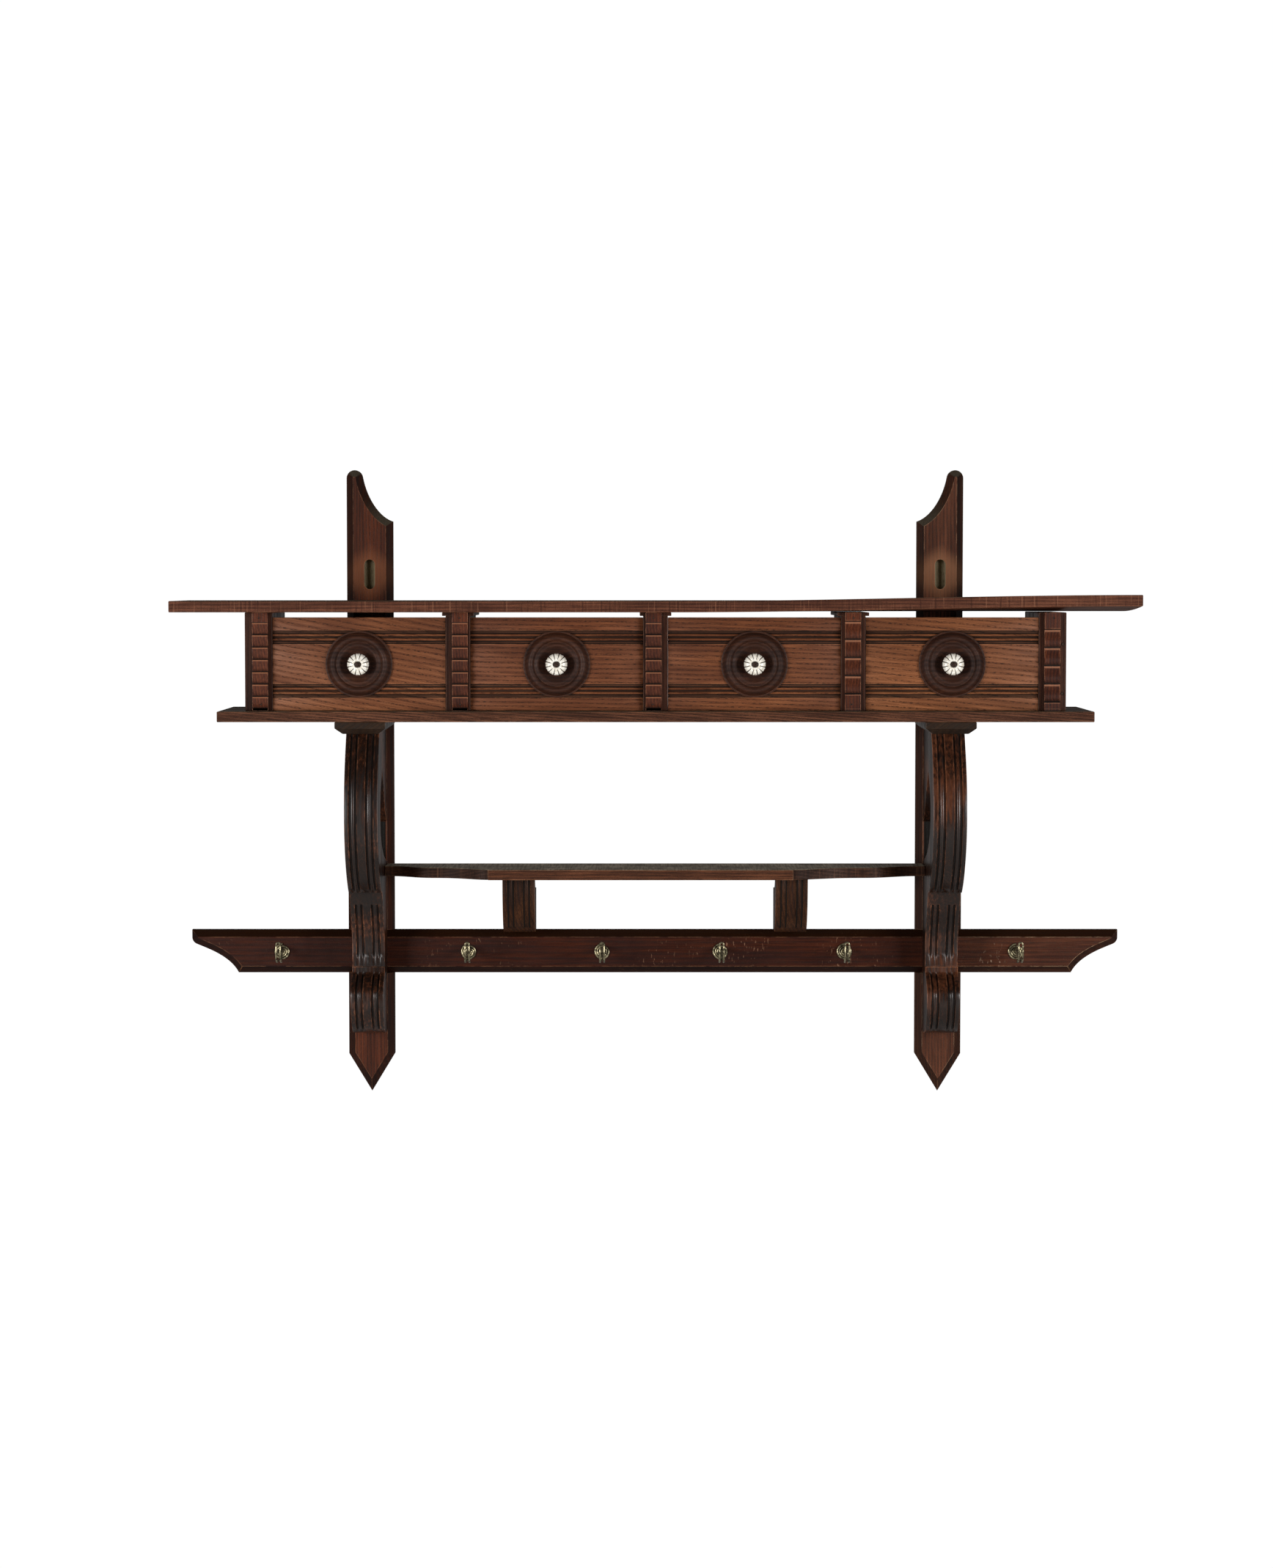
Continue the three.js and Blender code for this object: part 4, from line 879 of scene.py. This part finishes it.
low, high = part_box("coat_rail")
corner, top = high.x, high.z
lower = corner - 0.055           # where the hollow end begins on the lower edge
straight = top - BEVEL - 0.001
round_end, tilt = 0.0086, math.radians(22.5)
turn = math.pi / 2 - tilt
hollow = (corner - round_end * (1 - math.cos(turn)), straight - round_end * math.sin(turn))
lead = (hollow[0] - 0.017 * math.cos(tilt), hollow[1] - 0.017 * math.sin(tilt))
right_end = drawn((0, -top), (lower, -top), ((lower + 0.010, 0.019 - top), lead, hollow), steps=20)
right_end += arc(corner - round_end, straight, round_end, -math.degrees(turn), 0)[1:]
right_end.append(Vector((corner, top)))
outline = right_end[1:] + [Vector((-p.x, p.y)) for p in reversed(right_end[1:])]
thick = high.y - low.y
rail = sawn("rail_board", outline, 0, thick, BEVEL)
for side in ("left", "right"):
    low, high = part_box(f"upright_{side}")
    cut_away(rail, board("halving", Vector((low.x - GAP, -BEVEL, -RAIL_HALF - PAST)),
                         Vector((high.x + GAP, PAST, RAIL_HALF + PAST))))
ease(rail, 0.0008)
fit(rail, "root", "rail", rail_wood, "coat_rail")

# ---- Brackets -------------------------------------------------------------------------------
# Two heavy scroll brackets on the uprights. The front is fluted with a scratch stock between
# plain bands, the sides are flat, and a scroll opening is sawn out behind the belly.

bracket_wood, shader, looks, tree = stained(
    "Dark varnished bracket", colour(76, 46, 32), colour(22, 12, 8), colour(156, 102, 74),
    run=ALONG_Z, fibres=0.8, pores=0.4, rough=0.32, gloss=0.3, worn=0.95, reach=0.0016,
    hollows=0.005, hollow_shade=0.95, relief=0.15)
places = put(tree, "TexCoord", {})
streaks = stretched(tree, places["Object"], (1, 1, 0.09))
streaks = noise(tree, streaks, 300, 2)
patch = noise(tree, places["Object"], 16, 1)
patch = reckon(tree, "ADD", times(tree, patch, 0.6), times(tree, streaks, 0.4))
old_varnish = (0.006, 0.003, 0.002, 1)
looks = mixed(tree, between(tree, patch, 0.60, 0.40, 0.0, 0.8), looks, old_varnish)
looks = mixed(tree, between(tree, patch, 0.50, 0.64, 0.0, 0.3), looks, colour(112, 66, 44))
tree.links.new(looks, shader.inputs["Base Color"])
flank = reckon(tree, "ABSOLUTE", put(tree, "SeparateXYZ", {0: places["Normal"]})["X"])
tree.links.new(between(tree, flank, 0.5, 0.9, 0.45, 0.08), shader.inputs["Specular IOR Level"])

# Across the width: how deep the scratch stock has cut, from 0 on the ribs to 1 in a groove
FLUTE_DEPTH = 0.0019
flute_profile = [(-1, 0.12), (-0.97, 0), (-0.745, 0), (-0.715, 0.35), (-0.685, 1), (-0.635, 1),
                 (-0.60, 0.35), (-0.55, 0.05), (-0.49, 0), (-0.43, 0.05), (-0.385, 0.35),
                 (-0.355, 1),
                 (-0.305, 1), (-0.275, 0.3), (-0.25, 0)]
flute_profile += [(-place, depth) for place, depth in reversed(flute_profile)]


def fluted(name, path, middle, half):
    """A piece with a fluted front. The path holds (out, up, fluting) points round its side."""
    around = len(path)
    rings, painted_lights = [], []
    for place, depth in flute_profile:
        ring = []
        # Painted shade in each groove, darker the deeper it is cut
        painted_lights.append([min(1.1 * depth, 1) * fluting if abs(place) < 0.95 else 0
                       for out, up, fluting in path])
        for i, (out, up, fluting) in enumerate(path):
            before, after = path[i - 1], path[(i + 1) % around]
            run_out, run_up = after[0] - before[0], after[1] - before[1]
            run = math.hypot(run_out, run_up)
            cut = FLUTE_DEPTH * depth * fluting
            ring.append((middle + half * place, -(out + cut * run_up / run),
                         up - cut * run_out / run))
        rings.append(ring)
    piece = lofted(name, rings, painted_lights)
    pick(piece)
    bpy.ops.object.shade_smooth_by_angle(angle=math.radians(32))
    return piece


RUN_OUT = 0.0025                 # length over which a flute comes up to the face at its end


def member(start, *marks, steps=14, fluted_from=None, fluted_to=None):
    """Part of a side outline, fluted between two levels and plain beyond them."""
    path = []
    for place in drawn(start, *marks, steps=steps):
        fluting = 0
        if fluted_from is not None and fluted_to < place.y < fluted_from:
            near = min(fluted_from - place.y, place.y - fluted_to)
            fluting = min(near / RUN_OUT, 1)
        path.append((place.x, place.y, fluting))
    return path


low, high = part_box("bracket_left")
back, head, foot = -high.y, high.z, low.z
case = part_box("bottom_board")[0].z
front = -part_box("top_shelf")[0].y
neck, belly, belly_level = front - 0.062, front - 0.024, case - 0.105
ledge, ledge_level = 0.108, 0.0785
waist, lip, bulb = 0.056, 0.061, 0.088
waist_top, waist_foot = ledge_level - 0.016, -0.0035
fillet_top, fillet_foot, bulb_level = -0.0130, -0.0190, -0.046
shelf_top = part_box("middle_shelf")[1].z
scroll_top, scroll_out = case - 0.060, 0.088
tongue, scroll_front = case - 0.124, belly - 0.047
bracket_path = member(
    (neck, head),
    ((neck + 0.018, head - 0.026), (belly, belly_level + 0.038), (belly, belly_level)),
    ((belly, belly_level - 0.038), (ledge + 0.038, ledge_level + 0.022), (ledge, ledge_level)),
    steps=24, fluted_from=head + 0.01, fluted_to=ledge_level + 0.0005)
bracket_path += member(
    (ledge - 0.0004, ledge_level - 0.0002), (ledge - 0.007, ledge_level - 0.0004),
    (ledge - 0.014, ledge_level - 0.0008), (ledge - 0.0165, ledge_level - 0.0045),
    (ledge - 0.0195, ledge_level - 0.0095), (ledge - 0.0215, ledge_level - 0.0135),
    (ledge - 0.023, waist_top))
bracket_path += member(
    (ledge - 0.0232, waist_top - 0.0008),
    ((ledge - 0.036, waist_top - 0.022), (waist, 0.024), (waist, waist_foot)),
    steps=22, fluted_from=waist_top + 0.003, fluted_to=waist_foot)
bracket_path += member((waist, fillet_top), (lip, fillet_top), (lip, fillet_foot))
bracket_path += member(
    (lip + 0.0003, fillet_foot - 0.0006),
    ((lip + 0.004, fillet_foot - 0.006), (bulb, bulb_level + 0.016), (bulb, bulb_level)),
    ((bulb, bulb_level - 0.030), (bulb - 0.026, foot), (bulb - 0.048, foot)),
    steps=18, fluted_from=fillet_foot - 0.0002, fluted_to=foot + 0.0045)
bracket_path += member(
    (back, foot), (back, shelf_top + 0.003),
    ((back + 0.040, shelf_top + 0.008), (scroll_front, shelf_top + 0.024),
     (scroll_front, belly_level - 0.004)),
    ((scroll_front, belly_level + 0.022), (scroll_out + 0.016, scroll_top - 0.014),
     (scroll_out, scroll_top)),
    ((scroll_out - 0.026, scroll_top - 0.022), (back + 0.026, tongue + 0.008), (back, tongue)),
    (back, head), steps=20)
for side in ("left", "right"):
    low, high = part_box(f"bracket_{side}")
    bracket = fluted(f"scroll_bracket_{side}", bracket_path, (low.x + high.x) / 2,
                     (high.x - low.x) / 2)
    fit(bracket, "root", "bracket", bracket_wood, f"bracket_{side}")

# ---- Capitals -------------------------------------------------------------------------------
# A flat block between each bracket and the bottom board, its lower edge chamfered at the
# front and at both sides.

capital_wood = stained(
    "Dark varnished capital", colour(54, 41, 32), colour(28, 20, 15), colour(108, 84, 64),
    run=(0, math.radians(35), 0), pores=0.4, rough=0.4, gloss=0.2, worn=0.6)[0]

for side in ("left", "right"):
    low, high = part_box(f"capital_{side}")
    chamfer, rise = 0.0085, 0.0065
    capital = board(f"chamfered_block_{side}", low, high)
    slice_up(capital, 2, 1)
    for vertex in capital.data.vertices:
        if abs(vertex.co.z - low.z) < 1e-5:
            vertex.co.x += chamfer if vertex.co.x < (low.x + high.x) / 2 else -chamfer
            if vertex.co.y < low.y + 1e-5:
                vertex.co.y += chamfer
        elif vertex.co.z < high.z - 1e-5:
            vertex.co.z = low.z + rise
    ease(capital, 0.0008)
    fit(capital, "root", "bracket", capital_wood, f"capital_{side}")

# ---- Middle shelf ---------------------------------------------------------------------------
# A short shelf between the brackets. Its front is straight in the middle, steps back at a
# small cusp on each side, and runs out to the uprights in a long ogee.

middle_wood, shader, looks, tree = stained(
    "Stained middle shelf", colour(100, 62, 43), colour(46, 26, 17), colour(160, 118, 88),
    spacing=0.004, swirl=22, fibres=0.7, pores=0.4, rough=0.55, worn=0.9)
places = put(tree, "TexCoord", {})["Object"]

# The sawn curves at both ends get painted shade, darker than the straight front, and the
# top is still rough from the saw, its ridges rubbed pale
low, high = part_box("middle_shelf")
out = put(tree, "SeparateXYZ", {0: places})["Y"]
sawn_curve = between(tree, out, low.y + 0.0008, low.y + 0.0042)
shaded_curve = mixed(tree, 0.58, saw_marks(tree, looks, math.radians(35), 0.6), SHADE_BLACK)
looks = mixed(tree, sawn_curve, looks, shaded_curve)
ripples = stretched(tree, places, (1, 0.05, 1))
ripples = noise(tree, ripples, 420, 2)
ripples = mixed(tree, between(tree, ripples, 0.4, 0.6),
                colour(176, 160, 136), colour(222, 206, 180))
tree.links.new(dusty(tree, looks, ripples), shader.inputs["Base Color"])

front, back = -low.y, -high.y
cusp, end = front - 0.004, 0.055
turn = (cusp + end) / 2
LEFT_CURVE = 0.123               # along the front, from the end to the cusp
RIGHT_CURVE = 0.157
side_fronts = []
for length in (LEFT_CURVE, RIGHT_CURVE):
    half = high.x
    side_fronts.append(drawn(
        (half, -end),
        ((half - length / 4, -end), (half - length / 4, -turn), (half - length / 2, -turn)),
        ((half - 3 * length / 4, -turn), (half - 7 * length / 8, -cusp), (half - length, -cusp)),
        (half - length, -front), steps=16))
outline = [Vector((-half, -back))] + [Vector((-p.x, p.y)) for p in side_fronts[0]]
outline += list(reversed(side_fronts[1])) + [Vector((half, -back))]
middle_shelf = lofted("middle_board", [[(p.x, p.y, z) for p in outline] for z in (low.z, high.z)])
ease(middle_shelf, 0.0008, sharp=35)
fit(middle_shelf, "root", "shelf", middle_wood, "middle_shelf")

# ---- Corbels --------------------------------------------------------------------------------
# Two small fluted blocks that stand on the coat rail and prop the middle shelf. Each is
# hollowed out behind, above a low heel against the wall.

corbel_wood = stained(
    "Stained corbel", colour(76, 47, 29), colour(34, 18, 10), colour(124, 82, 54),
    run=ALONG_Z, fibres=0.6, pores=0.5, rough=0.45, gloss=0.16, worn=0.6, hollows=0.004,
    hollow_shade=0.9)[0]

low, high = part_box("corbel_left")
foot, head = low.z, high.z
top, toe = -low.y, 0.036
band, heel, heel_out = top - 0.025, head + GAP - 0.018, 0.014
middle = (foot + head) / 2
corbel_path = member((0, foot), (toe, foot))
corbel_path += member(
    (toe + 0.0001, foot + 0.0001),
    ((toe + 0.018, foot + 0.004), (top, middle - 0.004), (top, head)),
    steps=22, fluted_from=head + 0.01, fluted_to=foot + 0.0050)
corbel_path += member(
    (band, head), ((band - 0.0027, head - 0.0118), (band - 0.015, heel), (heel_out, heel)),
    (0, heel), steps=12)
for side in ("left", "right"):
    low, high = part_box(f"corbel_{side}")
    corbel = fluted(f"fluted_prop_{side}", corbel_path, (low.x + high.x) / 2, (high.x - low.x) / 2)
    fit(corbel, "root", "bracket", corbel_wood, f"corbel_{side}")

# ---- Coat hooks -----------------------------------------------------------------------------
# Each hook is bent from one length of wire: coiled flat into a round plate, twisted together
# where it leaves the middle of the plate, and doubled back at the tip in a closed arch.

brass = bpy.data.materials.new("Dull brass wire")
brass.use_nodes = True
tree = brass.node_tree
shader = tree.nodes["Principled BSDF"]
places = put(tree, "TexCoord", {})["Object"]
tarnish = noise(tree, places, 260, 4)
tarnish = between(tree, tarnish, 0.38, 0.66)
tree.links.new(mixed(tree, tarnish, colour(166, 156, 126), colour(62, 56, 42)),
               shader.inputs["Base Color"])
tree.links.new(between(tree, tarnish, 0, 1, 0.28, 0.5), shader.inputs["Roughness"])
bump = put(tree, "Bump", {"Height": tarnish, "Strength": 0.2, "Distance": 0.0002})[0]
tree.links.new(bump, shader.inputs["Normal"])
shader.inputs["Metallic"].default_value = 0.85

WIRE = 0.0023
low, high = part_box("hook_1")
middle_x, plate_back = (low.x + high.x) / 2, -high.y
plate_radius = (high.x - low.x) / 2
reach = -low.y - plate_back
tip_rise = high.z - 0.001


def along(route, share):
    """A point at a share of a route's length, smoothly between its stations."""
    place = share * (len(route) - 1)
    i = min(int(place), len(route) - 2)
    t = place - i
    a, b, c, d = (Vector(route[min(max(k, 0), len(route) - 1)]) for k in (i - 1, i, i + 1, i + 2))
    return 0.5 * (2 * b + (c - a) * t + (2 * a - 5 * b + 4 * c - d) * t * t
                  + (3 * b - a - 3 * c + d) * t ** 3)


def wire(name, lines):
    """Wire run along lines of (x, out, up) points, as one mesh."""
    drawing = bpy.data.curves.new(name, "CURVE")
    drawing.dimensions = "3D"
    drawing.bevel_depth = WIRE / 2
    drawing.bevel_resolution = 3
    drawing.use_fill_caps = True
    for line in lines:
        spline = drawing.splines.new("POLY")
        spline.points.add(len(line) - 1)
        for point, (x, out, up) in zip(spline.points, line):
            point.co = (x, -out, up, 1)
    piece = bpy.data.objects.new(name, drawing)
    bpy.context.collection.objects.link(piece)
    pick(piece)
    bpy.ops.object.convert(target="MESH")
    return bpy.context.object


PAIR = 0.0024                    # from the middle line to each wire where the pair runs straight
TWISTED_PAIR = 0.0013            # and where it is twisted
TWISTED_SHARE = 0.42             # of the way from the plate to the tip
TWISTS = 2
ARCH = 0.0030                    # from the top of the tip down to where the arch springs
STATIONS = 70
tip = plate_back + reach - WIRE / 2
sag = 0.009
route = [(plate_back + WIRE, 0), (plate_back + 0.16 * reach, 0.0032),
         (plate_back + 0.34 * reach, 0.0024), (plate_back + 0.54 * reach, -0.0050),
         (plate_back + 0.74 * reach, WIRE / 2 - sag),
         (tip - 0.0035, -0.0038), (tip, 0.0037), (tip - 0.0006, 0.0105),
         (tip - 0.0016, tip_rise - ARCH)]
out_wire, back_wire = [], []
for k in range(STATIONS + 1):
    share = k / STATIONS
    out, up = along(route, share)
    twist = 2 * math.pi * TWISTS * min(share / TWISTED_SHARE, 1) + math.pi / 2
    spread = TWISTED_PAIR + (PAIR - TWISTED_PAIR) * min(max((share - 0.3) / 0.2, 0), 1)
    beside, above = spread * math.sin(twist), spread * math.cos(twist)
    out_wire.append((beside, out, up + above))
    back_wire.append((-beside, out, up - above))
arch = [(PAIR * math.cos(math.radians(a)), tip - 0.0018,
         tip_rise - ARCH + PAIR * math.sin(math.radians(a))) for a in range(15, 180, 15)]
COIL_TURNS = 3
COIL_STEPS = 28                  # in each turn
coil_start, coil_end = 0.0016, plate_radius - WIRE / 2
coil = []
for k in range(COIL_TURNS * COIL_STEPS + 1):
    angle = 2 * math.pi * k / COIL_STEPS
    radius = coil_start + (coil_end - coil_start) * k / (COIL_TURNS * COIL_STEPS)
    coil.append((radius * math.sin(angle), plate_back + WIRE / 2, radius * math.cos(angle)))
lines = [coil, out_wire + arch + list(reversed(back_wire))]
first_hook = wire(
    "wire_hook_1", [[(middle_x + x, out, up) for x, out, up in line] for line in lines])
bpy.ops.object.shade_smooth()
hook_nodes = [f"hook_{number}" for number in range(1, 7)]
repeated(first_hook, "wire_hook", hook_nodes, ["root"] * 6, "hook", brass)

# ---- Studio ---------------------------------------------------------------------------------
# The shelf hangs in plain white surroundings over a pale floor, lit softly from both sides of
# the front, and is seen from straight ahead and a little above its middle.

bpy.ops.object.select_all(action="DESELECT")
bpy.ops.mesh.primitive_plane_add(size=1, location=(0, -1.6, -0.95), scale=(1, 1, 1))
floor = bpy.context.object
floor.name = "studio_floor"
floor.scale = (7, 4, 1)
bpy.ops.object.transform_apply(location=True, rotation=True, scale=True)
pale = bpy.data.materials.new("Pale floor")
pale.use_nodes = True
pale.node_tree.nodes["Principled BSDF"].inputs["Base Color"].default_value = colour(226, 224, 220)
pale.node_tree.nodes["Principled BSDF"].inputs["Roughness"].default_value = 0.8
floor.data.materials.append(pale)

world = bpy.data.worlds.new("White surroundings")
bpy.context.scene.world = world
world.use_nodes = True
tree = world.node_tree
background = tree.nodes["Background"]
direction = put(tree, "SeparateXYZ", {0: put(tree, "TexCoord", {})["Generated"]})
behind = between(tree, direction["Y"], -0.1, 0.35, 0.05, 0.26)
above = between(tree, direction["Z"], 0.15, 0.7, 1.0, 0.25)
lit = times(tree, behind, above)
seen = put(tree, "LightPath", {})["Is Camera Ray"]
strength = reckon(tree, "MAXIMUM", lit, times(tree, seen, 1.02))
tree.links.new(strength, background.inputs["Strength"])
background.inputs["Color"].default_value = (1, 1, 1, 1)


def soft_light(name, place, target, size, power):
    """A large soft box facing a point."""
    bpy.ops.object.light_add(type="AREA", location=place)
    lamp = bpy.context.object
    lamp.name = name
    lamp.data.size = size
    lamp.data.energy = power
    lamp.rotation_euler = (Vector(target) - Vector(place)).to_track_quat("-Z", "Y").to_euler()


soft_light("left_light", (-2.5, -2.7, 0.30), (0, 0, 0.22), 1.3, 96)
soft_light("right_light", (2.6, -2.7, 0.40), (0, 0, 0.22), 1.3, 92)

bpy.ops.object.camera_add(location=(-0.0217, -4.1368, 0.4374),
                          rotation=(math.pi / 2 - 0.0578, 0, 0))
camera = bpy.context.object
camera.data.lens = 80.2
camera.data.sensor_width = 36
bpy.context.scene.camera = camera
bpy.context.scene.view_settings.view_transform = "Standard"
